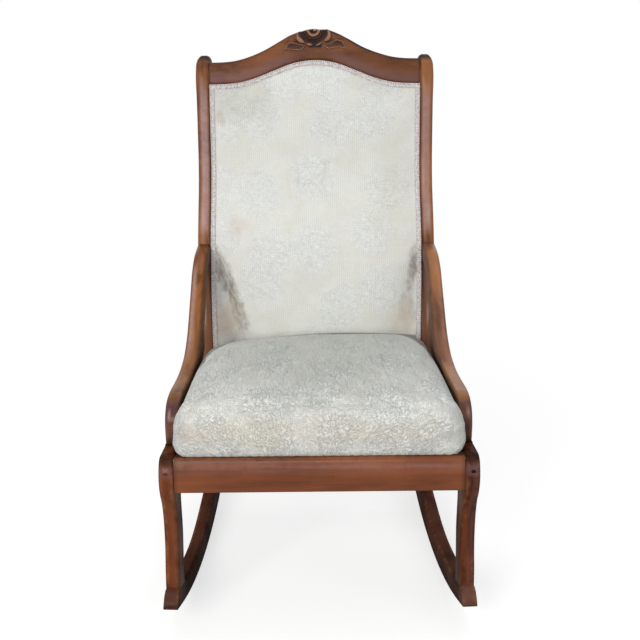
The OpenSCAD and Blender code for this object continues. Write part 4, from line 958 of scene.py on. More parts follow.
def leafRelief(x, y, outline, base, tip):
    # a leaf: domed from its toothed edge, cut by a midrib and side veins that run out towards the tip, with a painted
    # highlight on its lower rim: its relief, where it is, how deep its cuts are there and how much painted highlight it
    # gets
    dx, dy = tip[0] - base[0], tip[1] - base[1]
    run = math.hypot(dx, dy)
    s = ((x - base[0]) * dx + (y - base[1]) * dy) / run
    t = ((x - base[0]) * dy - (y - base[1]) * dx) / run * math.copysign(1, dx)
    teeth = 1.1 * np.abs(((s + 0.4 * np.abs(t)) / 5.2) % 1 - 0.35)
    depth = polygonDepth(x, y, outline) - teeth
    body = risen(-0.4, 1.4, depth)
    veins = hump(((s - 0.9 * np.abs(t)) / 5.6) % 1, 0.5, 0.26) * risen(0.8, 3.0, depth) * risen(0.5, 2.0, np.abs(t))
    rib = hump(t, 0, 1.2) * risen(0, 4, run - s)
    rim = hump(depth, 1.4, 2.2)
    lit = np.maximum(rim * (0.75 + 0.25 * risen(-1, 3, t)),
                     0.22 * (1 - veins) * risen(1.5, 3.5, depth) * risen(6, 1, np.abs(t)))
    return body * (2.8 + 0.9 * risen(1, 7, depth) - 1.0 * veins + 0.7 * rim - 1.3 * rib), body, (veins + rib) * body, lit


def dome(x, y):
    # a half ball: the root of 1 - x^2 - y^2, and 0 outside it
    return np.sqrt(np.clip(1 - x ** 2 - y ** 2, 0, 1))


def carving(x, y):
    # relief of the rose and its leaves over the crest's face, with how deep in painted shadow each point is and how
    # much rubbing and painted highlight it gets
    rx, ry = x - crest["roseMiddle"][0], y - crest["roseMiddle"][1]
    r = np.hypot(rx, ry)
    fromTop = np.arccos(np.clip(ry / np.maximum(r, 1e-6), -1, 1))
    degrees = np.degrees(fromTop)
    left, leftIn, leftCut, leftLit = leafRelief(x, y, crest["leafLeft"], (-18, -37), (-66, -46))
    right, rightIn, rightCut, rightLit = leafRelief(x, y, crest["leafRight"], (19, -37), (66, -38))
    twigs = [2.2 * risen(-0.3, 1.6, polygonDepth(x, y, outline)) for outline in crest["twigs"]]
    leaves = np.maximum.reduce([left, right, *twigs])
    wobble = 0.5 * np.sin(fromTop * 7 + np.sign(rx)) + 0.3 * np.sin(fromTop * 13)
    cup = 5.6 * dome((r - 11.2 + 0.4 * wobble) / 3.7, 0) * risen(26, 50, degrees)
    hearts = [high * risen(1.1, 0.6, np.hypot((rx - px) / wide, (ry - py) / tall))
              for high, px, py, wide, tall in ((4.8, 2.6, 1.6, 5.2, 6.2), (3.6, -5.0, 2.5, 2.6, 5.0))]
    slit = strokeRelief(rx, ry, crest["slit"])
    collar = 3.6 * hump(r + 0.6 * wobble, 17.4, 1.7) * risen(58, 84, degrees)
    ruffles = 1.1 * np.maximum(hump(r + wobble, 20.8, 1.0), hump(r - wobble, 23.9, 1.0)) * risen(62, 90, degrees)
    wings = 5.2 * np.maximum.reduce([strokeRelief(x, y, wing) for wing in crest["wings"]])
    lobe = dome(((x + 10.2) * 0.99 - (y + 34.0) * 0.14) / 8.4, ((y + 34.0) * 0.99 + (x + 10.2) * 0.14) / 3.7)
    lips = np.maximum(4.6 * lobe, 4.2 * strokeRelief(x, y, crest["lowPetal"]))
    bud = np.maximum.reduce([cup, *hearts]) * (1 - slit)
    rose = np.maximum.reduce([bud, collar, ruffles, wings, lips])
    ground = np.maximum(risen(31, 27, np.hypot(rx, ry * 1.05)) * risen(-29, -24, ry),
                        risen(16, 10, np.abs(x - 2)) * risen(-41, -37, y) * risen(-22, -26, y))
    beside = 0.8 * risen(21, 25, np.abs(x)) * risen(46, 38, np.abs(x)) * risen(-36, -31, y) * risen(-18, -26, y)
    hollow = np.maximum(ground, beside) * (1 - risen(0.9, 2.2, np.maximum(rose, leaves)))
    relief = np.maximum(rose, leaves) - 1.2 * hollow
    leafShade = 0.70 * np.maximum(leftIn, rightIn) * (1 - np.maximum(leftLit, rightLit)) + 0.30 * (leftCut + rightCut)
    shadow = (hollow * 0.92 + leafShade + slit * risen(9, 6, r) * 0.95
              + 0.35 * risen(1.2, 0.4, ruffles) * risen(18.5, 20, r) * ground)
    rubbed = np.maximum.reduce([0.85 * risen(2.6, 4.4, np.maximum.reduce([bud, wings, lips])),
                                0.45 * risen(1.8, 3.2, collar), 0.9 * leftLit * leftIn, 0.9 * rightLit * rightIn])
    return relief, np.clip(shadow, 0, 1), np.clip(rubbed, 0, 1)


def makeCrest():
    # at each station across, the section runs up the carved front, over the top, down the back and under
    edge, backEdge, thick, carved, rows = (crest[key] for key in ("edge", "backEdge", "thick", "carved", "rows"))
    front = crest["setback"] + backDepth(crest["base"])
    endAt = innerAt(front + 8) - 0.06
    outer = carved + (endAt - carved) * np.linspace(0, 1, crest["stations"][1])[1:]
    x = np.concatenate([-outer[::-1], np.linspace(-carved, carved, crest["stations"][0]), outer])[:, None]
    low, high = crestLow(x), crestHigh(x)
    share = np.linspace(0, 1, rows)
    share = 0.5 - 0.35 * 0.5 * np.cos(share * math.pi) - 0.65 * (0.5 - share)
    share = (share - share[0]) / (share[-1] - share[0])
    y = low + (high - low) * share
    away = np.minimum(y - low, high - y)
    relief, shadow, rubbed = carving(x + 0 * y, y - (crest["top"] - crest["base"]))
    swell = 1.5 * (1 - ((share - 0.5) * 2) ** 2)
    z = swell - 1.5 - edge * ellipse(1 - away / edge) + relief * (0.35 + 0.65 * risen(0.2, 3.0, away))
    turn = np.linspace(0, quarter, 5)[1:]
    flat = thick - edge - backEdge
    mid = np.linspace(0.1, 0.9, 4)
    section = np.concatenate([
        stacked(y, z),
        stacked(high, -edge - 0.6 - flat * mid),
        stacked(high - backEdge * (1 - np.cos(turn)), -thick + backEdge * (1 - np.sin(turn))),
        stacked(low + (high - low) * np.linspace(0.94, 0.06, 9), -thick),
        stacked(low + backEdge * (1 - np.sin(turn)), -thick + backEdge * (1 - np.cos(turn))),
        stacked(low, -thick + backEdge + (flat - 0.6) * mid)], 1)
    depth = front + section[..., 0] * math.sin(crestLean) - section[..., 1] * math.cos(crestLean)
    height = crest["base"] + section[..., 0] * math.cos(crestLean) + section[..., 1] * math.sin(crestLean)
    across = x * (innerAt(depth) / innerAt(front + 8)) ** (np.abs(x) / endAt)
    far = np.abs(x)
    # marks: painted shade in the carving's hollows and cuts and over the right half, darker at the ends, at the middle
    # and along the top edge, most to the right; a painted sheen along the lower edge away from the middle; rubbing and
    # painted highlights on the carving
    brow = risen(8, 1.5, high - y) * (0.45 + 0.45 * risen(0, 40, x) * risen(140, 80, x))
    marks = dict(
        grime=shadow + 0.5 * risen(endAt - 5, endAt, far) + brow + 0.30 * risen(20, 120, x) + 0.12 * risen(60, 20, far),
        rubbed=rubbed, wear=hump(away, 1.4, 2.2) * 0.5,
        haze=0.75 * risen(30, 8, y - low) * risen(10, 90, far) + 0.06 * risen(110, 40, far) * risen(8, 30, y - low))
    pad = ((0, 0), (0, section.shape[1] - rows))
    marks = {key: np.pad(np.clip(values, 0, 1), pad) for key, values in marks.items()}
    tubePiece("crestRailCarved", stacked(across, depth, height), woods["crest"], ("crest_rail",), sharp=50, **marks)


makeCrest()
print("crest carved")


def rimFaces(rows, columns, offset):
    # quads that join the border of a grid to the border of a second one whose points come offset later
    edge = np.concatenate([np.arange(columns), np.arange(1, rows) * columns + columns - 1,
                           (rows - 1) * columns + np.arange(columns - 2, -1, -1), np.arange(rows - 2, 0, -1) * columns])
    after = np.roll(edge, -1)
    return stacked(edge, after, after + offset, edge + offset)


def normalsOf(grid):
    # unit normals of a grid of points: the cross product of its differences along columns and along rows
    normal = np.cross(np.gradient(grid, axis=1), np.gradient(grid, axis=0))
    return normal / np.maximum(np.linalg.norm(normal, axis=-1, keepdims=True), 1e-9)


def slabPiece(name, face, rear, cloth, material, node, grime=None):
    # a closed slab between a face grid and a rear grid of the same size, in level millimetres
    rows, columns = face.shape[:2]
    points = settle(np.concatenate([face.reshape(-1, 3), rear.reshape(-1, 3)]))
    quads = gridFaces(rows, columns)
    faces = [quads, quads[:, ::-1] + rows * columns, rimFaces(rows, columns, rows * columns)[:, ::-1]]
    marks = {} if grime is None else dict(grime=np.tile(grime.ravel(), 2))
    place = np.tile(cloth.reshape(-1, 2), (2, 1)) / 1000
    return claim(putMesh(name, points, faces, material, marks, cloth=place), (node,))


# Sprung seat: a tight dome over the springs that bulges over the front rail and between the hip rests
seat = dict(
    frontDepth=9.0, rearDepth=533.0, base=329.3, rise=117.0, crownDepth=320.8, frontFall=0.18, rearFall=0.42,
    corner=0.07, cornerAbove=0.16,
    sideGap=1.0,          # clearance to the hip rests
    narrow=4.0,           # how much the dome draws in halfway to its middle
    sink=(3.0, 17.0, 6.0),   # how far the rear edge has sunk, how much more at the left, and more again at the left rim
    pushed=3.0,           # how far the left rim is pushed in
    insets=[8, 2.5, 0, 0.8, 4.4, 12.4, 27, 55, 100, 160, 262, 364],   # the last one only steers the curve
    rises=[0, 0.10, 0.28, 0.48, 0.66, 0.79, 0.87, 0.925, 0.965, 0.99, 1.0, 0.99],
    skin=1.4, cornerBulge=4.5,
    inside=(0, 271, 300), # a point under the dome
    grid=172, crowding=0.72,
    coarse=3,             # every how many points of the grid the cloth simulation and the wadding take
    slack=0.02,           # how much wider the cover is cut than the dome
    pressure=2.0, frames=16,
    quality=6, mass=0.3, damping=2.0, stiffness=20.0, bending=0.4,
    most=3.5,             # cap on how far the simulation may move a point, mm
    padGap=2.2,           # distance of the wadding under the cover
    tray=([0, 0.13, 0.27, 1], [21.6, 41.6, 71.6, 262], [0, 42, 70.4, 70.4]),   # its underside: share, inset and rise
)
seatMiddle, seatHalf = (seat["frontDepth"] + seat["rearDepth"]) / 2, (seat["rearDepth"] - seat["frontDepth"]) / 2


def sideLimit(depth):
    # half width of the seat between the hip rests
    return chair["halfWidth"] - arm["high"] / math.cos(splay) - seat["sideGap"] - math.tan(splay) * depth


def seatCrown(depth):
    # share of the full rise at a depth: highest behind the middle, falling as a square to the front and a cube to the rear
    ahead = np.maximum(seat["crownDepth"] - depth, 0) / (seat["crownDepth"] - seat["frontDepth"])
    behind = np.maximum(depth - seat["crownDepth"], 0) / (seat["rearDepth"] - seat["crownDepth"])
    return 1 - seat["frontFall"] * ahead ** 2 - seat["rearFall"] * behind ** 3


def seatGrid(every):
    # a square grid from -1 to 1 whose lines crowd together towards its rim along a sine
    reach = quarter * seat["crowding"]
    line = np.sin(np.linspace(-1, 1, seat["grid"])[::every] * reach) / math.sin(reach)
    return np.meshgrid(line, line)


def roundedSquare(a, b, corner):
    # a point of a square grid as a direction on a square ring with rounded corners, and how far out its ring is
    ring = np.maximum(np.maximum(np.abs(a), np.abs(b)), 1e-6)
    p, q = np.abs(a) / ring, np.abs(b) / ring
    over = np.clip((np.minimum(p, q) - (1 - corner)) / corner, 0, 1)
    angle = np.arctan2(np.where(q >= p, 1.0, over), np.where(q >= p, over, 1.0))
    inCorner = np.minimum(p, q) > 1 - corner
    p = np.where(inCorner, 1 - corner + corner * np.cos(angle), p)
    q = np.where(inCorner, 1 - corner + corner * np.sin(angle), q)
    return np.sign(a) * p, np.sign(b) * q, ring


def seatSurface(skin, every=1):
    # the dome's points for a skin's distance under its outside: ring by ring, drawn in and raised along one profile
    a, b = seatGrid(every)
    corner = seat["corner"] + (seat["cornerAbove"] - seat["corner"]) * risen(1.0, 0.86, np.maximum(np.abs(a), np.abs(b)))
    sx, sy, ring = roundedSquare(a, b, corner)
    profile = smoothCurve(stacked(seat["insets"], np.array(seat["rises"]) * seat["rise"]), 8)
    profile = profile[:int(np.argmin(np.abs(profile[:, 0] - seat["insets"][-2]))) + 1]
    run = lengthsOf(profile)
    inset, lift = (np.interp((1 - ring) * run[-1], run, line) for line in profile.T)
    inward = inset / seatHalf
    depth = seatMiddle + sy * (seatHalf - inset - skin * (1 - inward))
    across = sx * (1 - inward) * (sideLimit(depth) - skin - seat["narrow"] * inward)
    bulge = seat["cornerBulge"] * risen(90, 62, depth) * risen(0, 22, lift) * risen(110, 60, lift)
    across = across + np.sign(sx) * np.abs(sx) ** 6 * bulge
    leftRim = risen(-165, -235, across)
    across = across + seat["pushed"] * leftRim * risen(230, 430, depth)
    sunk = seat["sink"][0] + seat["sink"][1] * risen(20, -215, across) + seat["sink"][2] * leftRim
    sunk = sunk * risen(300, 480, depth) * lift / seat["rise"]
    height = seat["base"] + np.maximum(lift * seatCrown(depth) - sunk - skin * (lift > 0), 0)
    return stacked(across, depth, height), stacked(a, b) * run[-1], ring, lift


def turnedUp(points, quads):
    # quads of a grid, reversed where the grid's middle one faces down
    a, b, c = (points.reshape(-1, 3)[quads[len(quads) // 2, k]] for k in range(3))
    return quads if np.cross(b - a, c - b)[2] > 0 else quads[:, ::-1]


def slackened(face, held, look):
    # Blender's cloth on a coarse copy of the cover, its edge held and the stuffing pushing from inside: how far each
    # point of the fine grid moves outward, in mm: the coarse moves along the normal, capped and spread by interpolation
    every = look["coarse"]
    coarse = settle(face[::every, ::every])
    rows, columns = coarse.shape[:2]
    normal = normalsOf(coarse)
    if normal[rows // 2, columns // 2, 2] < 0:
        normal = -normal
    mesh = bpy.data.meshes.new("coverTrial")
    mesh.from_pydata(coarse.reshape(-1, 3), [], turnedUp(coarse, gridFaces(rows, columns)).tolist())
    trial = bpy.data.objects.new("coverTrial", mesh)
    bpy.context.scene.collection.objects.link(trial)
    edge = np.flatnonzero(held[::every, ::every].ravel()).tolist()
    trial.vertex_groups.new(name="held").add(edge, 1.0, "REPLACE")
    cloth = trial.modifiers.new("cloth", "CLOTH")
    cloth.point_cache.frame_start, cloth.point_cache.frame_end = 1, look["frames"]
    fabric = cloth.settings
    fabric.vertex_group_mass = "held"
    fabric.quality, fabric.mass, fabric.air_damping = look["quality"], look["mass"], look["damping"]
    fabric.tension_stiffness = fabric.compression_stiffness = look["stiffness"]
    fabric.bending_stiffness = look["bending"]
    fabric.shrink_min = -look["slack"]
    fabric.use_pressure, fabric.uniform_pressure_force = True, look["pressure"]
    fabric.effector_weights.gravity = 0.0
    for step in range(1, look["frames"] + 1):
        bpy.context.scene.frame_set(step)
    blown = trial.evaluated_get(bpy.context.evaluated_depsgraph_get()).data
    points = np.empty(len(blown.vertices) * 3, np.float32)
    blown.vertices.foreach_get("co", points)
    moved = np.sum((points.reshape(coarse.shape) - coarse) * normal, -1) * 1000
    bpy.context.scene.frame_set(1)
    bpy.data.objects.remove(trial)
    bpy.data.meshes.remove(mesh)
    print("cover blown by", round(float(moved.min()), 2), "to", round(float(moved.max()), 2), "mm")
    moved = np.clip(moved, -look["most"], look["most"])
    fine = np.arange(len(face)) / every
    for _ in range(2):
        moved = stacked(*(np.interp(fine, np.arange(len(line)), line) for line in moved))
    return moved


def makeSeat():
    # the cover: the dome with loose swells, tucks along the front, drawn folds at the front corners and painted shadow
    # along its side rims towards the rear
    face, cloth, ring, lift = seatSurface(0.0)
    under = seatSurface(seat["skin"])[0]
    u, v = np.moveaxis(cloth, -1, 0)
    normal = normalsOf(face)
    outward = np.sign(np.sum(normal * (face - seat["inside"]), -1, keepdims=True))
    loose = risen(0.0, 0.06, 1 - ring)
    swell = 0.9 * wander(u / 46, v / 46, 0.4) + 0.35 * wander(u / 17, v / 17, 1.9)
    tuck = hump(((u + 5 * wander(u / 30, v / 30, 0.7)) / 23) % 1, 0.5, 0.28)
    tuck = tuck * risen(26, 4, lift) * risen(60, 20, face[..., 1])
    folds = np.sin((np.abs(u) * 0.5 + v) / 7.5 + wander(u / 40, v / 40))
    folds = folds * risen(150, 235, np.abs(u)) * risen(-170, -235, v)
    blown = slackened(face, (ring > 0.86) | (lift < 40), seat) * loose
    face = face + normal * outward * ((swell + 0.5 * folds * loose) * loose - 1.5 * tuck + blown)[..., None]
    # painted shadow along the side rims towards the rear, where the cover meets the hip rests
    rim = np.maximum(risen(-238, -242, u - 0.36 * v), risen(252, 256, u + 0.36 * v)) * risen(-40, 0, v)
    piece = slabPiece("seatCushion", face, under, cloth, seatDamask, "seat_cover", rim)


def makeSeatWadding():
    # cotton between the cover and the hessian: the cover's dome a little further in, over a low tray's sloping walls
    face, cloth = seatSurface(seat["skin"] + seat["padGap"], seat["coarse"])[:2]
    sx, sy, ring = roundedSquare(*seatGrid(seat["coarse"]), seat["corner"])
    inset, rise = (np.interp(1 - ring, seat["tray"][0], line) for line in seat["tray"][1:])
    depth = seatMiddle + sy * (seatHalf - inset)
    under = stacked(sx * (innerAt(depth) - inset), depth, seat["base"] + rise)
    piece = slabPiece("seatWadding", face, under, cloth, wadding, "seat_padding")


makeSeat()
makeSeatWadding()
print("seat stuffed")

# Back: a thin stuffed panel between the posts, held flat along its gimp
back = dict(
    low=347.0, coverAt=3.0, edgeAt=9.0, crown=12.0, skin=1.4, gap=0.3, crestGap=0.8, columns=111, rows=151,
    padding=(2.0, 9.8),   # how far behind the cover's face the padding starts and ends
    padAcross=0.965, padUp=(0.012, 0.982),   # its reach as shares of the panel
    gimpWide=10.0, gimpThick=2.0, gimpLoop=4.4, gimpStep=0.85, gimpRows=11,
)


def underCrest(across, lower=0.0):
    # height of the crest's bottom edge over a place across
    return crest["base"] + crestLow(across) * math.cos(crestLean) - lower


def halfAt(height, away):
    # half the clear width between the posts at a height, at a distance behind their front
    return innerAt(backDepth(height) + away) - back["gap"]


def backSheet(s, t, off, crown):
    # the panel at shares s across and t up, off behind the posts' front: puffed out from its gimp by a fourth power
    # across and by a cube and a square up, with loose swells and a seam drawn along the gimp if it has a crown
    margin, low, away = back["gimpWide"] + 1, back["low"], back["edgeAt"]
    high = underCrest(s * halfAt(crest["base"], away), back["gap"] + back["crestGap"])
    height = low + (high - low) * t
    half = halfAt(height, away)
    across = s * half
    side = np.clip(np.abs(across) / (half - margin), 0, 1)
    up = np.clip((high - margin - height) / (high - low), 0, 1)
    puff = (1 - side ** 4) * (1 - (1 - np.minimum(1, up * 4)) ** 3) * (1 - (1 - np.minimum(1, t * 5)) ** 2 / 2)
    loose = risen(0.0, 0.08, 1 - side) * risen(0, 0.03, up)
    swell = 0.7 * wander(across / 60, height / 60, 0.9) + 0.25 * wander(across / 21, height / 21, 2.2)
    seam = 0.6 * np.sin(height / 5.2 + 2 * wander(across / 30, height / 30)) * hump(side, 0.93, 0.07)
    push = crown * puff + (swell + seam) * loose * (crown > 0)
    return stacked(across, backDepth(height) + off - push, height)


def makeBack():
    # cover and padding of the back
    at, crown, skin = back["coverAt"], back["crown"], back["skin"]
    s, t = np.meshgrid(np.linspace(-1, 1, back["columns"]), np.linspace(0, 1, back["rows"]))
    face, rear = backSheet(s, t, at, crown), backSheet(s, t, at + skin, crown)
    edge = np.maximum(risen(0.97, 1.0, np.abs(s)), risen(0.985, 1.0, t))
    rear[..., 1] += edge * (back["edgeAt"] - at - skin)
    piece = slabPiece("backPanel", face, rear, face[..., ::2], backDamask, "back_cover")
    s, t = np.meshgrid(np.linspace(-back["padAcross"], back["padAcross"], back["columns"] // 2),
                       np.linspace(*back["padUp"], back["rows"] // 2))
    near, far = back["padding"]
    face, rear = backSheet(s, t, at + near, crown), backSheet(s, t, at + far, 0.0)
    piece = slabPiece("backWadding", face, rear, face[..., ::2], wadding, "back_padding")


makeBack()
print("back stuffed")


def braidRun(name, low, off, away, lower, facing, node):
    # gimp up one post, under the crest and down the other: a ribbon of two cords with scalloped edges, mitred at the
    # corners, each edge of it inside millimetres in from the posts and down from the crest
    wide, thick, step = back["gimpWide"], back["gimpThick"], back["gimpStep"]
    corner = halfAt(crest["base"], away)
    upward = np.arange(low, underCrest(corner, lower), step)
    across = np.linspace(-corner, corner, int(2 * corner / step))[1:-1]
    edges = []
    for inside in (0.0, wide):
        stop = underCrest(corner - inside, lower) - inside
        height = low + (upward - low) * (stop - low) / (upward[-1] - low)
        side = halfAt(height, away) - inside
        over = across * (corner - inside) / corner
        edges.append(np.vstack([stacked(-side, height), stacked(over, underCrest(over, lower) - inside),
                                stacked(side, height)[::-1]]))
    outer, inner = edges
    run = lengthsOf((outer + inner) / 2)[:, None]
    loops = np.abs(np.sin(math.pi * run / back["gimpLoop"]))
    t = np.linspace(0, 1, back["gimpRows"])[None]
    share = 0.5 + (t - 0.5) * (1 + 0.10 * (loops - 0.6))
    x, h = np.moveaxis(outer[:, None] + (inner - outer)[:, None] * share[..., None], -1, 0)
    cord = np.maximum(hump(t, 0.17, 0.2) * (0.75 + 0.25 * loops), 0.62 * hump(t, 0.62, 0.4))
    rise = thick * np.maximum(0.42, cord)
    ground = backDepth(h) + off
    face = stacked(x, ground + (thick - rise if facing < 0 else rise), h)
    under = stacked(x, ground + (thick if facing < 0 else 0), h)
    slabPiece(name, face, under, stacked(run, t * 1000), braid, node)


# Outside back: a tight sheet over the rear of the posts, from the seat rail to just above the crest's lower edge
outside = dict(
    low=chair["railTop"] - 32.0, over=12.0,
    at=crest["setback"] + crest["thick"] / math.cos(crestLean) + back["gap"],
    off=1.2, thick=1.0, slack=1.6, columns=61, rows=91,
    gimpOff=1.5, gimpAway=3.5,
)
braidRun("backGimp", back["low"], 0.2, 2.2, back["gap"], -1, "back_gimp")
braidRun("outsideBackGimp", outside["low"], outside["at"] + outside["gimpOff"], outside["at"] + outside["gimpAway"],
         -outside["over"], 1, "outside_back_gimp")
print("gimp laid")


def areaOf(grid):
    # area of a grid of points: half the length of each cell's crossed diagonals, summed
    one, two = grid[1:, 1:] - grid[:-1, :-1], grid[1:, :-1] - grid[:-1, 1:]
    return float(np.linalg.norm(np.cross(one, two), axis=-1).sum() / 2)


def makeOutsideBack():
    # a grid of shares across and up, hollowed by a fourth power across and a sine up
    s, t = np.meshgrid(np.linspace(-1, 1, outside["columns"]), np.linspace(0, 1, outside["rows"]))
    low, at = outside["low"], outside["at"]
    across = s * innerAt(backDepth(crest["base"]) + at)
    height = low + (underCrest(across, -outside["over"]) - low) * t
    half = halfAt(height, at + outside["off"])
    slack = outside["slack"] * (1 - s ** 4) * np.sin(np.pi * t) * (1 + 0.3 * wander(across / 50, height / 50))
    face = stacked(s * half, backDepth(height) + at + outside["off"] - slack, height)
    piece = slabPiece("outsideBackCover", face, face - [0, outside["thick"], 0], face[..., ::2], rearDamask,
                      "outside_back_cover")
    size = [2 * float(half.max()) / 1000, float(height.max() - low) / 1000]


makeOutsideBack()
print("outside back covered")

# Black cloth under the seat, and the tacks that hold it
dust = dict(
    inset=8.0, sag=4.5, thick=0.8, gap=0.1,
    postsFrom=545.0,      # depth at which the posts begin, up to where it covers the side rails
    overRails=19.0, beside=-1.0,   # how far it reaches past the inner faces of the side rails, and of knees and posts
    flatEdge=18.0, sagWithin=60.0,
    tacks=6, tackReach=0.85, tackRows=(15.5, 12.5),   # per row, their reach, and how far into front and rear rail they sit
    headRound=3.0, headHigh=1.2, head=([1.0, 1.0, 0.75, 0.4], [0, 0.25, 0.75, 0.97]),
)


def makeDustCover():
    # the cloth: flat over the rails and sagging between them
    rearEnd, frontEnd = rearNear + rails["thick"] - dust["inset"], rails["frontNear"] + dust["inset"]
    wideFrom, wideTo = chair["kneeDepth"] + dust["inset"], dust["postsFrom"] - dust["inset"]
    depth = np.concatenate([np.linspace(frontEnd, wideFrom, 12), np.linspace(wideFrom + 0.05, wideTo, 60),
                            np.linspace(wideTo + 0.05, rearEnd, 6)])[:, None]
    half = innerAt(depth) + np.where((depth > wideFrom) & (depth <= wideTo), dust["overRails"], dust["beside"])
    across = half * np.linspace(-1, 1, 61)
    within = (innerAt(depth) - np.abs(across), depth - frontEnd - dust["flatEdge"], rearEnd - dust["flatEdge"] - depth)
    inside = math.prod(np.clip(distance / dust["sagWithin"], 0, 1) for distance in within)
    sag = dust["sag"] * np.sin(inside * quarter) * (1 + 0.35 * wander(across / 40, depth / 40))
    top = stacked(across, depth, chair["railLow"] - dust["gap"] - sag)
    piece = slabPiece("dustCover", top - [0, 0, dust["thick"]], top, top[..., :2], cambric, "dust_cover")
    size = [2 * float(half.max()) / 1000, (rearEnd - frontEnd) / 1000]
    min(areaOf(top / 1000), size[0] * size[1])
    return wideFrom, wideTo


def makeTacks(wideFrom, wideTo):
    # heads of the tacks, low domes in a row along each rail
    along = np.linspace(wideFrom, wideTo, dust["tacks"])[1:-1]
    share = np.linspace(-1, 1, dust["tacks"]) * dust["tackReach"]
    rows = (rails["frontNear"] + dust["tackRows"][0], rearNear + dust["tackRows"][1])
    places = np.vstack([onSide(along, chair["sideThick"] / 2, 0.0, side)[:, :2] for side, name in sides]
                       + [stacked(innerAt(row) * share, row) for row in rows])
    turn = np.linspace(0, 2 * math.pi, 12, endpoint=False)
    reach, drop = (np.array(values)[:, None] for values in dust["head"])
    reach, drop = reach * dust["headRound"], drop * dust["headHigh"]
    rings = stacked(reach * np.cos(turn), reach * np.sin(turn), -drop)
    head = np.vstack([rings.reshape(-1, 3), [[0, 0, 0], [0, 0, -dust["headHigh"]]]])
    points = head + stacked(*places.T, chair["railLow"] - dust["gap"] - dust["thick"])[:, None]
    offsets = (np.arange(len(places)) * len(head))[:, None, None]
    faces = [(group + offsets).reshape(-1, group.shape[1]) for group in tubeFaces(*rings.shape[:2])]
    claim(putMesh("dustCoverTackHeads", settle(points), faces, steel, sharp=40), ("dust_cover_tacks",))


makeTacks(*makeDustCover())
print("under cover tacked")

# Plugs over the knee screws: low domes flush with the knees, the right one gone dark
plug = dict(
    at=0.59,              # height on the seat rails as a share of their height
    reach=[4.5, 4.45, 4.0, 2.8, 1.4], proud=[-6.0, -0.35, 0.05, 0.22, 0.30],
    grime=[1.0, 1.0, 1.0, 0.9, 0.9], leftShare=0.25, around=32,
)


def makePlugs():
    # each plug is rings about an axis along the knee's depth
    turn = np.linspace(0, 2 * math.pi, plug["around"], endpoint=False)
    reach, proud = (np.array(plug[key])[:, None] for key in ("reach", "proud"))
    height = chair["railLow"] + plug["at"] * (chair["railTop"] - chair["railLow"])
    front, middle = byHeight(legFront, height), chair["sideThick"] / 2
    rings = [settle(onSide(front - proud, middle + reach * np.cos(turn), height + reach * np.sin(turn), side))
             for side, name in sides]
    points = [tubePoints(ring) for ring in rings]
    left, right = (turnedOut(one, tubeFaces(*rings[0].shape[:2])) for one in points)
    grime = np.append(np.repeat(plug["grime"], len(turn)), plug["grime"][-1:] * 2)
    piece = putMesh("kneePlugs", np.vstack(points), left + [group + len(points[0]) for group in right], woods["upright"],
                    dict(grime=np.concatenate([grime * plug["leftShare"], grime])), sharp=50, closed=False)
    claim(piece, ("knee_plugs",))


makePlugs()
print("knees plugged")

# What the covers hide keeps its shape from the source and gets its own finish
hiddenFinish = (
    (woods["unpolished"], ("lower_back_rail", "seat_frame_front", "seat_frame_rear", "seat_frame_left",
                           "seat_frame_right")),
    (plainWood, ("left_tacking_strip", "right_tacking_strip", "corner_blocks", "seat_rail_dowels", "back_rail_dowels",
                 "arm_dowels", "leg_dowels")),
    (steel, ("corner_block_screws", "rocker_screws", "knee_screws", "seat_springs")),
    (jute, ("seat_webbing_lengthwise", "seat_webbing_crosswise", "back_webbing_upright", "back_webbing_crosswise")),
    (hessian, ("seat_hessian", "back_hessian")),
)
for material, names in hiddenFinish:
    for name in names:
        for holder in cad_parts[name].material_slots:
            holder.material = material
print("hidden parts finished")

# Camera, light and floor
studio = dict(
    eye=(-0.0137, -2.3856, 1.1976), pitch=16.762, yaw=-0.464, roll=-0.377, lens=70.7, sensor=36.0, sky=0.36,
    floorRadius=1.5, floorShade=0.55, floorLift=0.64, floorDark=0.34, nearRadius=0.75,
)
lamps = dict(   # place, height it aims at, width and height, power and colour
    keyBox=((-1.35, -3.3, 1.65), 0.5, (1.5, 1.2), 83.0, (1.0, 0.985, 0.96)),
    fillBox=((2.0, -2.4, 1.5), 0.5, (1.4, 1.4), 15.0, (0.96, 0.98, 1.0)),
    flashBox=((0.0, -3.3, 1.45), 0.5, (0.6, 0.5), 9.0, (1.0, 1.0, 1.0)),
    topBox=((0.0, 0.2, 2.9), 0.4, (1.8, 1.4), 12.0, (0.97, 0.985, 1.0)),
    rearBox=((0.6, 2.8, 2.0), 0.6, (2.0, 1.4), 12.0, (1.0, 1.0, 1.0)),
)
white = (1, 1, 1, 1)


def makeCamera():
    # the photo's viewpoint: a little above the crest, looking down
    camera = bpy.data.objects.new("photoCamera", bpy.data.cameras.new("photoCamera"))
    camera.data.lens, camera.data.sensor_width, camera.data.sensor_fit = studio["lens"], studio["sensor"], "HORIZONTAL"
    camera.location = studio["eye"]
    turns = ((studio["yaw"], "Z"), (90 - studio["pitch"], "X"), (studio["roll"], "Z"))
    yaw, pitch, roll = (Matrix.Rotation(math.radians(angle), 3, axis) for angle, axis in turns)
    camera.rotation_euler = (yaw @ pitch @ roll).to_euler()
    bpy.context.scene.collection.objects.link(camera)
    bpy.context.scene.camera = camera


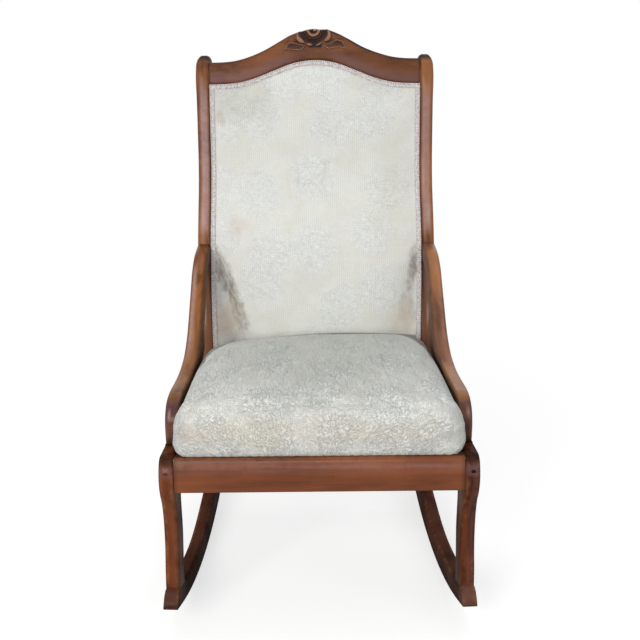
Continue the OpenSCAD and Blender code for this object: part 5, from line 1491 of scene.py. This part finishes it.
def makeLamp(name, place, aim, size, power, colour):
    # a soft box: an area lamp of a width and a height that looks at a point above the floor's middle
    lamp = bpy.data.lights.new(name, "AREA")
    lamp.shape, lamp.size, lamp.size_y, lamp.energy, lamp.color = "RECTANGLE", size[0], size[1], power, colour
    holder = bpy.data.objects.new(name, lamp)
    toward = np.array((0, 0, aim)) - np.array(place)
    toward /= np.linalg.norm(toward)
    holder.location = place
    holder.rotation_euler = (math.acos(-toward[2]), 0, math.atan2(-toward[0], toward[1]))
    bpy.context.scene.collection.objects.link(holder)


def makeSky():
    # a soft white room: dim for the light that falls on the chair, white where the camera or a reflection sees it
    world = bpy.data.worlds.new("softRoom")
    bpy.context.scene.world = world
    world.use_nodes = True
    bench = Bench("softRoom", world.node_tree)
    level = studio["sky"] + bench.seenPlainly() * (1 - studio["sky"])
    shade = bench.node("ShaderNodeBackground", None, {"Color": white, "Strength": level})
    bench.node("ShaderNodeOutputWorld", None, {"Surface": shade})


def makeFloor():
    # a pale floor that keeps the chair's shadow near it and runs out to plain white
    turn = np.linspace(0, 2 * math.pi, 96, endpoint=False)
    reach = np.concatenate([[0.0005], np.linspace(0.02, 3, 30), [8, 40]])[:, None]
    points = stacked(reach * np.cos(turn), reach * np.sin(turn), 0.0)
    bench = Bench("pale_floor")
    far = bench.risen(bench.vector("LENGTH", bench.place(), output="Value"), studio["nearRadius"], studio["floorRadius"])
    seen = bench.seenPlainly()
    dark, pale = ((studio[key],) * 3 + (1,) for key in ("floorDark", "floorShade"))
    plain = bench.node("ShaderNodeBsdfDiffuse", None, {"Color": bench.blend(seen, dark, pale)})
    glow = bench.node("ShaderNodeEmission", None, {"Color": white, "Strength": seen * studio["floorLift"]})
    blank = bench.node("ShaderNodeEmission", None, {"Color": white, "Strength": 1.0})
    near = bench.node("ShaderNodeAddShader", None, {0: plain, 1: glow})
    shade = bench.node("ShaderNodeMixShader", None, {0: seen * far, 1: near, 2: blank})
    bench.node("ShaderNodeOutputMaterial", None, {"Surface": shade})
    floor = putMesh("paleFloor", points, [gridFaces(*points.shape[:2], True)], bench.material, closed=False)


makeCamera()
makeSky()
makeFloor()
for name, (place, aim, size, power, colour) in lamps.items():
    makeLamp(name, place, aim, size, power, colour)
bpy.context.scene.view_settings.view_transform = "Standard"
print("camera, lights and floor set")
